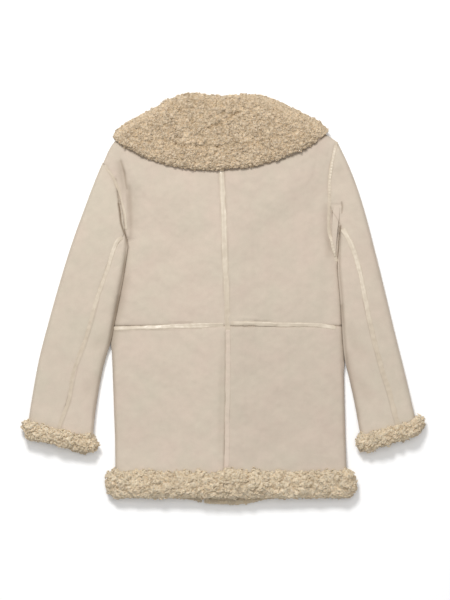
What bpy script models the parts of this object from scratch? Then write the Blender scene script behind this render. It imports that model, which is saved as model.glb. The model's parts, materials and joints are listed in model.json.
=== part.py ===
"""A hip-length shearling jacket, suede side out, laid flat on its front with its back up.

Sizes are in millimetres and become metres when a mesh is made. X runs across the jacket, +Y
runs up to the collar and +Z points up from the surface that it lies on. The tables count X and
Y from the neck's side of the centre seam, and each mesh is then moved so that the origin is
under the middle of the whole outline. Left and right are as seen from above, with the collar at
the top. Each panel is a wall of skin and wool, lofted through rows or rings, and the panels
lie on each other.
"""

import math
from collections import namedtuple

import bmesh
import bpy

MM = 0.001
OUTLINE_CENTRE = (2.04, 0.8, 0.0)  # in the tables' own X and Y
LEFT = -1
RIGHT = 1

# The skin with its wool, and what keeps two pieces apart.
FRONT_WALL = 8.5
BACK_WALL = 9.5
SEAM_GAP = 0.3
ARMHOLE_GAP = 0.8
FRONT_ARMHOLE_GAP = 2.2
FRONT_LAST_COLUMN_GAP = 2.0
ARMHOLE_ROWS = 9
ARMHOLE_STEPS = 24  # points of its curve that are read to find its X at a given height
UNDERARM_ROWS = (0.03, 0.065)  # more rows low in the armhole, where it turns most
SIDE_CLEARANCE = 0.8
SLIT = 2.4  # between two panels that lie on each other inside a flattened tube

# The body.
BODY_HEIGHT = FRONT_WALL + SLIT + BACK_WALL
BODY_EDGE_ROUND = 12.0
SIDE_SEAM_IN = 22.0  # the back rolls under this far, to the side seam
WAIST_Y = -52.0
HEM_WALL_END_Y = -384.0
NECK_Y = 378.0
CENTRE_BACK_TOP_X = 0.5
CENTRE_BACK_WAIST_X = 12.0
CENTRE_BACK_HEM_X = 5.0

# The right front lies lowest, and the left front overlaps it at the centre.
OVERLAP_LEFT_X = -37.0
OVERLAP_RIGHT_X = 43.0
OVERLAP_RAMP = 45.0
OVERLAP_STEP = FRONT_WALL + SEAM_GAP
OVERLAP_FADE_Y = (90.0, 150.0)
OVERLAP_END_Y = (76.0, 88.0)  # here the left front draws back to the edge of the right

# The wool bands and the collar ends lift the fronts that lie on them.
BAND_UNDER = 8.0
HEM_LIFT_Y = (-336.0, -280.0)
COLLAR_UNDER = 8.0
COLLAR_LIFT_RUN = 60.0
COLLAR_END_X = 138.0
COLLAR_END_WALL = 7.5
COLLAR_END_MARGIN = 25.0  # from the line where the fronts are fully lifted
COLLAR_LIFT_FADE_X = (160.0, 226.0)
COLLAR_LOW_Y = 150.0
COLLAR_LOW_BOW = 145.0
COLLAR_LOW_SPAN = 200.0

ROW_STEP = 30.0
SIDE_START_SHARE = 0.9
NARROW_RAMP_SHARES = (0.25, 0.5, 0.75)  # near the neck, where the panel is narrower
SIDE_COLUMNS = (0.35, 0.62, 0.84, 1.0)  # from the end of the overlap's ramp to the side
EDGE_STEPS = 6
SHARP_ANGLE_DEG = 50.0

# Where each side of the body runs, below the place where the sleeve leaves it.
SideRow = namedtuple("SideRow", "y left right")
BODY_SIDES = (
    SideRow(-384.0, -214.0, 251.5),
    SideRow(-348.0, -213.0, 251.0),
    SideRow(-276.0, -214.0, 249.0),
    SideRow(-200.0, -217.0, 247.0),
    SideRow(-150.0, -218.5, 246.0),
    SideRow(-100.0, -220.5, 243.0),
)
# The shoulders, from the top of each armhole up to the neck.
SHOULDER_LEFT = (
    SideRow(275.5, -237.0, 0.0),
    SideRow(296.0, -229.0, 0.0),
    SideRow(316.0, -218.0, 0.0),
    SideRow(330.0, -200.0, 0.0),
    SideRow(346.0, -174.0, 0.0),
    SideRow(362.0, -142.0, 0.0),
    SideRow(378.0, -108.0, 0.0),
)
SHOULDER_RIGHT = (
    SideRow(318.5, 0.0, 230.0),
    SideRow(328.0, 0.0, 216.0),
    SideRow(338.0, 0.0, 199.0),
    SideRow(350.0, 0.0, 173.0),
    SideRow(364.0, 0.0, 141.0),
    SideRow(378.0, 0.0, 109.0),
)

# Soft troughs in the back, beside the armholes.
Fold = namedtuple("Fold", "x0 y0 x1 y1 depth width")
BACK_FOLDS = (
    Fold(-203.0, 286.0, -190.0, 232.0, 2.5, 9.0),
    Fold(-186.0, 172.0, -181.0, 118.0, 2.5, 9.0),
    Fold(208.0, 178.0, 214.0, 110.0, 2.0, 9.0),
)

# The sleeves: each row is one ring, from the armhole to the cuff. Outer and inner are the
# two edges of the flattened tube. Bow is how far it leans to the body between them, and skew
# moves the most of that bow up. Seam is the place of the back seam between the edges, and
# lift is how high the ring lies on its wool band.
Ring = namedtuple("Ring", "outer_x outer_y inner_x inner_y bow skew seam height lift")
SLEEVE_LEFT = (
    Ring(-239.0, 275.0, -191.0, 124.0, 11.0, 0.6, 0.9, 19.5, 0.0),
    Ring(-255.0, 238.0, -188.0, 106.0, 8.0, 0.6, 0.86, 22.5, 0.0),
    Ring(-276.0, 180.0, -194.0, 70.0, 4.0, 0.6, 0.71, 25.0, 0.0),
    Ring(-295.0, 130.0, -198.0, 42.0, 2.0, 0.6, 0.69, 26.0, 0.0),
    Ring(-315.0, 68.0, -206.0, 2.0, 0.0, 0.0, 0.65, 26.0, 0.0),
    Ring(-333.0, 6.0, -215.0, -42.0, 0.0, 0.0, 0.65, 25.5, 0.0),
    Ring(-350.0, -56.0, -224.0, -92.0, 0.0, 0.0, 0.61, 25.0, 0.0),
    Ring(-367.0, -118.0, -240.0, -145.0, 0.0, 0.0, 0.59, 24.0, 0.0),
    Ring(-379.0, -190.0, -251.0, -216.0, 0.0, 0.0, 0.55, 23.0, 1.5),
    Ring(-386.0, -234.0, -256.0, -258.0, 0.0, 0.0, 0.48, 22.0, 8.3),
    Ring(-389.0, -272.0, -258.0, -301.0, 0.0, 0.0, 0.45, 21.0, 8.3),
)
SLEEVE_RIGHT = (
    Ring(232.0, 318.0, 239.0, 136.0, 20.0, -0.2, 0.9, 19.5, 0.0),
    Ring(255.0, 272.0, 238.0, 114.0, 7.0, 0.9, 0.84, 22.5, 0.0),
    Ring(273.0, 224.0, 235.0, 84.0, 4.0, 0.9, 0.66, 25.0, 0.0),
    Ring(289.0, 172.0, 234.0, 56.0, 2.0, 0.9, 0.53, 26.0, 0.0),
    Ring(305.0, 108.0, 237.5, 22.0, 0.0, 0.0, 0.47, 26.0, 0.0),
    Ring(320.0, 50.0, 240.5, -16.0, 0.0, 0.0, 0.48, 26.0, 0.0),
    Ring(335.0, -14.0, 243.0, -66.0, 0.0, 0.0, 0.44, 25.5, 0.0),
    Ring(351.0, -80.0, 248.0, -124.0, 0.0, 0.0, 0.40, 25.0, 0.0),
    Ring(366.0, -138.0, 258.0, -170.0, 0.0, 0.0, 0.38, 24.0, 0.0),
    Ring(379.0, -194.0, 268.0, -216.0, 0.0, 0.0, 0.36, 23.0, 1.5),
    Ring(386.0, -228.0, 275.0, -260.0, 0.0, 0.0, 0.31, 22.0, 8.3),
    Ring(394.0, -264.0, 283.0, -298.0, 0.0, 0.0, 0.29, 21.0, 8.3),
)
SLEEVE_EDGE_ROUND = 13.0
SLEEVE_CROWN = 1.5
SLEEVE_SEAM_GAP = 0.5
SLEEVE_UNDER_SEAM = 0.4
SLEEVE_TOP_COLUMNS = 5
SLEEVE_UNDER_COLUMNS = 2

# The wool bands. Each row is one ring: how far along the band, as a share of its depth, and
# how far the wool stands out there, as a share of its full height.
BandRow = namedtuple("BandRow", "along proud")
BAND_OUTSIDE = (
    BandRow(0.0, 0.3),
    BandRow(0.12, 0.78),
    BandRow(0.35, 1.0),
    BandRow(0.65, 1.0),
    BandRow(0.88, 0.72),
    BandRow(1.0, 0.3),
)
# The inside of a band: rows over the wall's end, then a step into the slit past it.
BAND_INSIDE_SHARES = (0.0, 0.33, 0.67, 1.0)
BAND_INSIDE_STEP = 0.1
CUFF_WOOL = 11.0
CUFF_WOOL_OUTER_SIDE = 16.0
CUFF_WOOL_INNER_SIDE = 10.0
CUFF_WOOL_PAST_END = 13.0
HEM_WOOL = 12.0
HEM_WOOL_SIDE = 18.0
HEM_WOOL_TOP_Y = -340.0
HEM_WOOL_END_Y = -398.0
FRONT_HEM_DROP = 15.0
FRONT_HEM_DROP_X = (-52.0, -30.0, 40.0, 100.0)

# The collar, from its left tip to its right tip: the rolled upper edge and the lower edge of
# the fall, and how high the roll ends above the surface.
CollarRow = namedtuple("CollarRow", "x top bottom roll_end")
COLLAR_ROWS = (
    CollarRow(-217.0, 334.0, 323.0, 12.0),
    CollarRow(-206.0, 345.0, 315.0, 8.0),
    CollarRow(-193.0, 356.0, 306.0, 3.0),
    CollarRow(-160.0, 373.0, 289.0, 0.0),
    CollarRow(-123.0, 392.0, 274.0, 0.0),
    CollarRow(-87.0, 409.0, 266.5, 2.0),
    CollarRow(-62.0, 413.5, 263.0, 7.0),
    CollarRow(-38.0, 411.0, 261.0, 7.0),
    CollarRow(-10.0, 406.0, 260.0, 7.0),
    CollarRow(28.0, 408.0, 264.0, 7.0),
    CollarRow(64.0, 414.5, 268.0, 7.0),
    CollarRow(86.0, 411.0, 272.5, 2.0),
    CollarRow(110.0, 400.5, 280.0, 0.0),
    CollarRow(157.0, 378.0, 298.0, 0.0),
    CollarRow(190.0, 363.0, 317.0, 3.0),
    CollarRow(204.0, 353.0, 327.0, 8.0),
    CollarRow(215.0, 341.0, 336.0, 12.0),
)
COLLAR_WOOL = 11.5
COLLAR_CLEARANCE = 1.1
COLLAR_ROLL = 18.0
COLLAR_TIP_SHARE = 0.42
COLLAR_WALL_SHARE = 0.62
COLLAR_FULL_DEPTH = 60.0
COLLAR_EDGE = 16.0
COLLAR_TOP_COLUMNS = 4
# The rounded lower edge of the fall: how far in from it each column lies, outside and
# inside, and how high it stands, as a share of the wool.
EdgeColumn = namedtuple("EdgeColumn", "outer inner height")
COLLAR_EDGES = (
    EdgeColumn(1.0, 3.0, 0.12),
    EdgeColumn(0.0, 6.0, 0.5),
    EdgeColumn(5.0, 10.0, 0.88),
    EdgeColumn(16.0, 16.0, 1.0),
)
STAND_HALF_LENGTH = 84.0
STAND_WALL = 9.0
STAND_STEPS = 8
COLLAR_END_INSET = 3.0
COLLAR_END_GAP = 1.5
COLLAR_END_STEPS = 8
COLLAR_END_COLUMNS = 4

# The smooth leather strips on the seams, and the underarm gussets.
STRIP_THICK = 1.2
STRIP_LIFT = 0.55
CENTRE_STRIP_WIDTH = 12.5
CENTRE_STRIP_TOP_Y = 258.0
CENTRE_STRIP_END_Y = -62.0
LAP_STRIP_START = -0.5
LAP_STRIP_WIDTH = 11.0
WAIST_STRIP_WIDTH = 10.0
WAIST_STRIP_LEFT_Y = (-50.0, -57.0)  # at the centre and at the side
WAIST_STRIP_RIGHT_Y = (-47.0, -54.0)
ARMHOLE_STRIP_WIDTH = 8.0
SLEEVE_STRIP_WIDTH = 10.0
PathPoint = namedtuple("PathPoint", "x y z")
ARMHOLE_STRIP_LEFT = (
    PathPoint(-235.0, 270.0, 20.9),
    PathPoint(-226.0, 258.0, 21.6),
    PathPoint(-216.0, 238.0, 22.0),
    PathPoint(-208.0, 215.0, 22.4),
    PathPoint(-202.0, 190.0, 22.4),
    PathPoint(-196.5, 160.0, 22.6),
    PathPoint(-191.5, 134.0, 23.0),
)
ARMHOLE_STRIP_RIGHT = (
    PathPoint(227.5, 303.0, 22.6),
    PathPoint(222.0, 278.0, 22.6),
    PathPoint(218.0, 252.0, 22.6),
    PathPoint(216.0, 226.0, 22.6),
    PathPoint(216.0, 196.0, 22.2),
    PathPoint(215.0, 164.0, 20.8),
    PathPoint(213.0, 124.0, 20.6),
)
GussetRow = namedtuple("GussetRow", "y left right z")
GUSSET_RIGHT = (
    GussetRow(190.0, 222.5, 238.0, 24.3),
    GussetRow(166.0, 221.5, 236.0, 24.9),
    GussetRow(140.0, 220.5, 232.0, 24.9),
    GussetRow(112.0, 221.0, 229.5, 22.4),
    GussetRow(84.0, 225.5, 228.5, 20.9),
)

# Colours as linear red, green and blue, then roughness.
Finish = namedtuple("Finish", "colour roughness")
SUEDE = Finish((0.62, 0.52, 0.41), 0.92)
WOOL = Finish((0.53, 0.42, 0.26), 0.95)
STRIP_LEATHER = Finish((0.76, 0.68, 0.56), 0.38)


def smooth(start, end, value):
    """0 before start, 1 after end, and an eased step between them."""
    share = min(1.0, max(0.0, (value - start) / (end - start)))
    return share * share * (3.0 - 2.0 * share)


def mix(a, b, share):
    return a + (b - a) * share


def along(points, value):
    """The second number of (key, number) pairs, read between the keys."""
    points = sorted(points)
    if value <= points[0][0]:
        return points[0][1]
    for (key_a, a), (key_b, b) in zip(points, points[1:]):
        if value <= key_b:
            return mix(a, b, (value - key_a) / (key_b - key_a))
    return points[-1][1]


def distance_to_segment(x, y, fold):
    dx = fold.x1 - fold.x0
    dy = fold.y1 - fold.y0
    share = ((x - fold.x0) * dx + (y - fold.y0) * dy) / (dx * dx + dy * dy)
    share = min(1.0, max(0.0, share))
    return math.hypot(x - fold.x0 - share * dx, y - fold.y0 - share * dy)


def sleeve_rings(side):
    return SLEEVE_LEFT if side == LEFT else SLEEVE_RIGHT


def on_ring(ring, share):
    """The plan point of a sleeve ring, share of the way from its outer to its inner edge."""
    dx = ring.inner_x - ring.outer_x
    dy = ring.inner_y - ring.outer_y
    length = math.hypot(dx, dy)
    to_body = -math.copysign(1.0, ring.outer_x)
    bulge = 4.0 * ring.bow * share * (1.0 - share) * (1.0 + ring.skew * (1.0 - 2.0 * share))
    normal_x = to_body * abs(dy) / length
    normal_y = to_body * dx / length
    return ring.outer_x + dx * share + normal_x * bulge, ring.outer_y + dy * share + normal_y * bulge


def armhole_x(side, y):
    armhole = sleeve_rings(side)[0]
    points = [on_ring(armhole, step / ARMHOLE_STEPS) for step in range(ARMHOLE_STEPS + 1)]
    return along([(py, px) for px, py in points], y)


def side_x(side, y):
    """The plan edge of the body, left or right, at this height up the jacket."""
    rings = sleeve_rings(side)
    column = "left" if side == LEFT else "right"
    if y > rings[0].outer_y:
        shoulder = SHOULDER_LEFT if side == LEFT else SHOULDER_RIGHT
        return along([(row.y, getattr(row, column)) for row in shoulder], y)
    if y > rings[0].inner_y:
        return armhole_x(side, y) - side * ARMHOLE_GAP
    own = along([(row.y, getattr(row, column)) for row in BODY_SIDES], y)
    if y < BODY_SIDES[-1].y - SIDE_CLEARANCE:
        return own
    beside = along([(ring.inner_y, ring.inner_x) for ring in rings], y) - side * SIDE_CLEARANCE
    return side * min(side * beside, side * own) if y < WAIST_Y else beside


def centre_back_x(y):
    return along(
        [
            (NECK_Y, CENTRE_BACK_TOP_X),
            (WAIST_Y, CENTRE_BACK_WAIST_X),
            (HEM_WALL_END_Y, CENTRE_BACK_HEM_X),
        ],
        y,
    )


def collar_low_y(x):
    return COLLAR_LOW_Y + COLLAR_LOW_BOW * (x / COLLAR_LOW_SPAN) ** 2


def lift(x, y):
    """How high the fronts lie, on the hem bands and on the ends of the collar."""
    hem = (BAND_UNDER + SEAM_GAP) * (1.0 - smooth(*HEM_LIFT_Y, y))
    low = collar_low_y(x)
    collar = (COLLAR_UNDER + SEAM_GAP) * smooth(low - COLLAR_LIFT_RUN, low, y)
    return hem + collar * (1.0 - smooth(*COLLAR_LIFT_FADE_X, abs(x)))


def overlap(x, y):
    """The extra height where the left front lies on the right front."""
    rising = smooth(OVERLAP_LEFT_X - OVERLAP_RAMP, OVERLAP_LEFT_X, x)
    falling = 1.0 - smooth(OVERLAP_RIGHT_X, OVERLAP_RIGHT_X + OVERLAP_RAMP, x)
    return OVERLAP_STEP * rising * falling * (1.0 - smooth(*OVERLAP_FADE_Y, y))


def back_top(x, y):
    """The height of the suede side of the back."""
    sunk = 0.0
    for fold in BACK_FOLDS:
        sunk += fold.depth * math.exp(-((distance_to_segment(x, y, fold) / fold.width) ** 2))
    return lift(x, y) + overlap(x, y) + BODY_HEIGHT - sunk


def make_material(name, finish):
    material = bpy.data.materials.new(name)
    material.use_nodes = True
    shader = material.node_tree.nodes["Principled BSDF"]
    shader.inputs["Base Color"].default_value = (*finish.colour, 1.0)
    shader.inputs["Roughness"].default_value = finish.roughness
    shader.inputs["Metallic"].default_value = 0.0
    return material


def finish_object(name, bm, finish):
    """Turns the faces outwards, and makes the mesh and its object."""
    bmesh.ops.recalc_face_normals(bm, faces=bm.faces)
    bmesh.ops.translate(bm, vec=[-place for place in OUTLINE_CENTRE], verts=bm.verts)
    bmesh.ops.scale(bm, vec=(MM, MM, MM), verts=bm.verts)
    mesh = bpy.data.meshes.new(name)
    bm.to_mesh(mesh)
    bm.free()
    mesh.materials.append(make_material(name, finish))
    mesh.shade_smooth()
    mesh.set_sharp_from_angle(angle=math.radians(SHARP_ANGLE_DEG))
    made = bpy.data.objects.new(name, mesh)
    jacket.objects.link(made)
    return made


def make_wall(name, outer, inner, finish, has_cell=None):
    """A wall between two grids of points, with a rim wherever a cell has no neighbour."""
    bm = bmesh.new()
    used = {}

    def vertex(skin, row, column):
        key = (skin, row, column)
        if key not in used:
            grid = outer if skin == "outer" else inner
            used[key] = bm.verts.new(grid[row][column])
        return used[key]

    rows = len(outer)
    columns = len(outer[0])
    cells = {
        (row, column)
        for row in range(rows - 1)
        for column in range(columns - 1)
        if has_cell is None or has_cell(row, column)
    }
    for row, column in sorted(cells):
        corners = ((row, column), (row, column + 1), (row + 1, column + 1), (row + 1, column))
        bm.faces.new([vertex("outer", *corner) for corner in corners])
        bm.faces.new([vertex("inner", *corner) for corner in reversed(corners)])
        beyond = ((row - 1, column), (row, column + 1), (row + 1, column), (row, column - 1))
        for index, neighbour in enumerate(beyond):
            if neighbour in cells:
                continue
            first = corners[index]
            second = corners[(index + 1) % 4]
            bm.faces.new(
                [
                    vertex("outer", *second),
                    vertex("outer", *first),
                    vertex("inner", *first),
                    vertex("inner", *second),
                ]
            )
    return finish_object(name, bm, finish)


def make_ring_wall(name, outer, inner, finish):
    """A wall between two tubes, each a list of closed rings."""
    bm = bmesh.new()
    skins = [[[bm.verts.new(point) for point in ring] for ring in tube] for tube in (outer, inner)]
    count = len(outer[0])
    for rings in skins:
        for ring_a, ring_b in zip(rings, rings[1:]):
            for index in range(count):
                after = (index + 1) % count
                bm.faces.new([ring_a[index], ring_a[after], ring_b[after], ring_b[index]])
    for end in (0, -1):
        for index in range(count):
            after = (index + 1) % count
            outer_ring, inner_ring = skins[0][end], skins[1][end]
            bm.faces.new(
                [outer_ring[index], outer_ring[after], inner_ring[after], inner_ring[index]]
            )
    return finish_object(name, bm, finish)


def make_strip(name, rows, finish):
    """A thin strip: an open surface through rows of points, made solid upwards."""
    bm = bmesh.new()
    grid = [[bm.verts.new(point) for point in row] for row in rows]
    for row_a, row_b in zip(grid, grid[1:]):
        for index in range(len(row_a) - 1):
            bm.faces.new([row_a[index], row_a[index + 1], row_b[index + 1], row_b[index]])
    made = finish_object(name, bm, finish)
    if made.data.polygons[0].normal.z < 0:
        made.data.flip_normals()
    solid = made.modifiers.new("Thickness", "SOLIDIFY")
    solid.thickness = STRIP_THICK * MM
    solid.offset = 1.0
    solid.use_even_offset = True
    return made


def arc(middle_z, across, up):
    """Half an ellipse as (distance outwards, height), from its top round to its bottom."""
    points = []
    for step in range(1, EDGE_STEPS + 1):
        turn = math.pi * step / EDGE_STEPS
        points.append((across * math.sin(turn), middle_z + up * math.cos(turn)))
    return points


def body_rows(side, start, end):
    """Heights up the body for a panel's rows: even steps, and each place where its side turns."""
    rings = sleeve_rings(side)
    shoulder = SHOULDER_LEFT if side == LEFT else SHOULDER_RIGHT
    turns = [ring.inner_y for ring in rings[: len(BODY_SIDES) + 1]]
    turns += [rings[0].inner_y + ARMHOLE_GAP, rings[0].outer_y - ARMHOLE_GAP, rings[0].outer_y]
    turns += [row.y for row in (*BODY_SIDES, *shoulder)]
    low, high = rings[0].inner_y, rings[0].outer_y
    turns += [mix(low, high, step / ARMHOLE_ROWS) for step in range(1, ARMHOLE_ROWS)]
    turns += [mix(low, high, share) for share in UNDERARM_ROWS]
    turns += [HEM_LIFT_Y[0], sum(HEM_LIFT_Y) / 2, HEM_LIFT_Y[1], *OVERLAP_END_Y]
    turns += [WAIST_Y - SEAM_GAP / 2, WAIST_Y + SEAM_GAP / 2]
    turns = sorted({turn for turn in turns if start < turn < end} | {start, end})
    rows = []
    for low, high in zip(turns, turns[1:]):
        count = max(1, round((high - low) / ROW_STEP))
        rows += [mix(low, high, step / count) for step in range(count)]
    return rows + [end]


def at_armhole(side, y):
    """Whether the body ends at the sleeve's seam here, and not in a rolled side."""
    rings = sleeve_rings(side)
    return rings[0].inner_y < y < rings[0].outer_y


def ramp_places(side):
    """The X of the columns that carry the ramp of the overlap, from the centre outwards."""
    edge = OVERLAP_LEFT_X if side == LEFT else OVERLAP_RIGHT_X
    return [edge, edge + side * OVERLAP_RAMP / 2, edge + side * OVERLAP_RAMP]


def back_places(side, y):
    """The X of each column of a back panel's upper side, from the centre seam."""
    turn = side_x(side, y)
    if not at_armhole(side, y):
        turn -= side * BODY_EDGE_ROUND
    ramp = ramp_places(side)
    if abs(turn) < abs(ramp[-1]) / SIDE_START_SHARE:
        ramp = [mix(0.0, turn, share) for share in NARROW_RAMP_SHARES]
    centre = centre_back_x(y) + side * SEAM_GAP / 2
    return [centre, *ramp, *(mix(ramp[-1], turn, share) for share in SIDE_COLUMNS)]


def back_row(side, y, inside=False, proud=0.0, sideways=0.0, under=0.0):
    """One row of a back panel, from the centre seam round the side to the side seam.

    proud, sideways and under grow it upwards, outwards and downwards.
    """
    places = back_places(side, y)
    turn = places[-1]
    inset = BACK_WALL if inside else -proud
    row = [(x, y, back_top(x, y) - inset) for x in places]
    high = back_top(turn, y) - inset
    low = lift(turn, y) + (FRONT_WALL if inside else -under)
    across = SLIT if inside else BODY_EDGE_ROUND + sideways
    for out, z in arc((high + low) / 2, across, (high - low) / 2):
        row.append((turn + side * out, y, z))
    seam = turn - side * SIDE_SEAM_IN
    row.append((seam, y, lift(seam, y) + (FRONT_WALL if inside else -under)))
    return row


def make_back(name, side, start, end):
    rows = body_rows(side, start, end)
    last_top = len(back_places(side, start)) - 1

    def has_cell(row, column):
        return column < last_top or not at_armhole(side, (rows[row] + rows[row + 1]) / 2)

    outer = [back_row(side, y) for y in rows]
    inner = [back_row(side, y, inside=True) for y in rows]
    return make_wall(name, outer, inner, SUEDE, has_cell)


def front_places(side, y, last_x):
    """The X of each column of a front, from its side seam or its armhole to its free edge."""
    inwards = FRONT_ARMHOLE_GAP if at_armhole(side, y) else BODY_EDGE_ROUND + SIDE_SEAM_IN + SEAM_GAP
    start = side_x(side, y) - side * inwards
    own = back_places(side, y)[1:-1]
    own[-1] = side * min(abs(own[-1]), abs(start) - FRONT_LAST_COLUMN_GAP)
    return [start, *reversed(own), last_x]


def make_front(name, side):
    outer = []
    inner = []
    for y in body_rows(side, HEM_WALL_END_Y, NECK_Y):
        last_x = OVERLAP_LEFT_X
        if side == LEFT:
            last_x = mix(OVERLAP_RIGHT_X, OVERLAP_LEFT_X - SEAM_GAP, smooth(*OVERLAP_END_Y, y))
        places = front_places(side, y, last_x)
        heights = [lift(x, y) + (overlap(x, y) if side == LEFT else 0.0) for x in places]
        outer.append([(x, y, z) for x, z in zip(places, heights)])
        inner.append([(x, y, z + FRONT_WALL) for x, z in zip(places, heights)])
    return make_wall(name, outer, inner, SUEDE)


def sleeve_top(ring, share):
    """The height of a sleeve's upper side, share of the way across it."""
    return ring.lift + ring.height + SLEEVE_CROWN * 4.0 * share * (1.0 - share)


def sleeve_half(ring, to_outer, inside=False, proud=0.0, sideways=0.0, under=0.0):
    """Half of a sleeve ring, from its back seam round one edge to its under seam.

    proud, sideways and under grow it upwards, outwards and downwards.
    """
    length = math.hypot(ring.inner_x - ring.outer_x, ring.inner_y - ring.outer_y)
    way = 1.0 if to_outer else -1.0
    gap = way * SLEEVE_SEAM_GAP / 2 / length
    turn = (0.0 if to_outer else 1.0) + way * SLEEVE_EDGE_ROUND / length
    wall = (ring.height - SLIT) / 2 if inside else 0.0
    low = ring.lift + wall - under

    def at(share, z):
        return (*on_ring(ring, share), z)

    def top(share):
        return sleeve_top(ring, share) - wall + proud

    half = []
    for step in range(SLEEVE_TOP_COLUMNS + 1):
        share = mix(ring.seam - gap, turn, step / SLEEVE_TOP_COLUMNS)
        half.append(at(share, top(share)))
    across = SLIT if inside else SLEEVE_EDGE_ROUND + sideways
    for out, z in arc((top(turn) + low) / 2, across, (top(turn) - low) / 2):
        half.append(at(turn - way * out / length, z))
    for step in range(1, SLEEVE_UNDER_COLUMNS + 1):
        share = mix(turn, SLEEVE_UNDER_SEAM - gap, step / SLEEVE_UNDER_COLUMNS)
        half.append(at(share, low))
    return half


def make_sleeve(name, side, to_outer):
    rings = sleeve_rings(side)
    outer = [sleeve_half(ring, to_outer) for ring in rings]
    inner = [sleeve_half(ring, to_outer, inside=True) for ring in rings]
    return make_wall(name, outer, inner, SUEDE)


def mix_rings(a, b, share):
    return Ring(*(mix(value_a, value_b, share) for value_a, value_b in zip(a, b)))


def cuff_ring(ring, outer_side=0.0, inner_side=0.0, **how):
    """A closed ring round a sleeve, from the back seam."""
    outer_half = sleeve_half(ring, True, sideways=outer_side, **how)
    inner_half = sleeve_half(ring, False, sideways=inner_side, **how)
    return outer_half + inner_half[-2:0:-1]


def make_cuff_band(name, side):
    """Wool turned back over the sleeve's end, and round it to the slit between its walls."""
    start, end = sleeve_rings(side)[-2:]
    run = math.hypot(
        (start.outer_x + start.inner_x - end.outer_x - end.inner_x) / 2,
        (start.outer_y + start.inner_y - end.outer_y - end.inner_y) / 2,
    )
    past_share = CUFF_WOOL_PAST_END / run
    outer = [
        cuff_ring(
            mix_rings(start, end, row.along * (1.0 + past_share)),
            outer_side=CUFF_WOOL_OUTER_SIDE * row.proud,
            inner_side=CUFF_WOOL_INNER_SIDE * row.proud,
            proud=CUFF_WOOL * row.proud,
            under=BAND_UNDER * row.proud,
        )
        for row in BAND_OUTSIDE
    ]
    fit = {"outer_side": SEAM_GAP, "inner_side": SEAM_GAP, "proud": SEAM_GAP, "under": SEAM_GAP}
    round_end = 1.0 + SEAM_GAP / run
    inner = [
        cuff_ring(mix_rings(start, end, share * round_end), **fit) for share in BAND_INSIDE_SHARES
    ]
    for share in (round_end + BAND_INSIDE_STEP / run, 1.0 + past_share):
        inner.append(cuff_ring(mix_rings(start, end, share), inside=True))
    return make_ring_wall(name, outer, inner, WOOL)


def hem_inner_rows():
    """Y of each inner row of a hem band, and whether it lies in the slit past the wall's end."""
    past = HEM_WALL_END_Y - SEAM_GAP
    rows = [(mix(HEM_WOOL_TOP_Y, past, share), False) for share in BAND_INSIDE_SHARES]
    return [*rows, (past - BAND_INSIDE_STEP, True), (HEM_WOOL_END_Y, True)]


def make_hem_back(name, side):
    outer = [
        back_row(
            side,
            mix(HEM_WOOL_TOP_Y, HEM_WOOL_END_Y, row.along),
            proud=HEM_WOOL * row.proud,
            sideways=HEM_WOOL_SIDE * row.proud,
            under=BAND_UNDER * row.proud,
        )
        for row in BAND_OUTSIDE
    ]
    fit = {"proud": SEAM_GAP, "sideways": SEAM_GAP, "under": SEAM_GAP}
    inner = [
        back_row(side, y, inside=True) if in_slit else back_row(side, y, **fit)
        for y, in_slit in hem_inner_rows()
    ]
    return make_wall(name, outer, inner, WOOL)


def front_hem_drop(x):
    """How far the front hem reaches past the back hem, beside the centre."""
    start, full, fade, end = FRONT_HEM_DROP_X
    return FRONT_HEM_DROP * smooth(start, full, x) * (1.0 - smooth(fade, end, x))


def make_hem_front(name, side):
    """The band under a front. The two meet at the edge of the front that lies lowest."""
    last_x = OVERLAP_LEFT_X + side * SEAM_GAP
    outer = []
    for row in BAND_OUTSIDE:
        y = mix(HEM_WOOL_TOP_Y, HEM_WOOL_END_Y, row.along)
        z = (BAND_UNDER + SEAM_GAP) - BAND_UNDER * row.proud
        places = front_places(side, y, last_x)
        outer.append([(x, y - front_hem_drop(x) * row.along**2, z) for x in places])
    inner = []
    for y, in_slit in hem_inner_rows():
        z = BAND_UNDER + SEAM_GAP + FRONT_WALL if in_slit else BAND_UNDER
        drop = 1.0 if y == HEM_WOOL_END_Y else 0.0
        places = front_places(side, y, last_x)
        inner.append([(x, y - front_hem_drop(x) * drop, z) for x in places])
    return make_wall(name, outer, inner, WOOL)


def collar_at(x):
    """The collar's measures at any place along it."""
    measures = ("top", "bottom", "roll_end")
    return CollarRow(
        x, *(along([(row.x, getattr(row, name)) for row in COLLAR_ROWS], x) for name in measures)
    )


def collar_roll(row):
    return min(COLLAR_ROLL, COLLAR_TIP_SHARE * (row.top - row.bottom))


def collar_section(row, inside):
    """The fall from its lower edge up over the back, and round the roll to the front."""
    roll = collar_roll(row)
    size = min(1.0, (row.top - row.bottom) / COLLAR_FULL_DEPTH)
    wall = min(COLLAR_WOOL, COLLAR_WALL_SHARE * roll)
    start = row.bottom + COLLAR_EDGE * size
    turn = row.top - roll
    section = []
    for edge in COLLAR_EDGES:
        y = row.bottom + (edge.inner if inside else edge.outer) * size
        rise = COLLAR_CLEARANCE + (0.0 if inside else edge.height * wall)
        section.append((row.x, y, back_top(row.x, y) + rise))
    rise = COLLAR_CLEARANCE + (0.0 if inside else wall)
    for step in range(1, COLLAR_TOP_COLUMNS + 1):
        y = mix(start, turn, step / COLLAR_TOP_COLUMNS)
        section.append((row.x, y, back_top(row.x, y) + rise))
    high = section[-1][2]
    low = row.roll_end + (wall if inside else 0.0)
    across = roll - wall if inside else roll
    for out, z in arc((high + low) / 2, across, (high - low) / 2):
        section.append((row.x, turn + out, z))
    return section


def make_collar_fall(name):
    outer = [collar_section(row, False) for row in COLLAR_ROWS]
    inner = [collar_section(row, True) for row in COLLAR_ROWS]
    return make_wall(name, outer, inner, WOOL)


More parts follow.
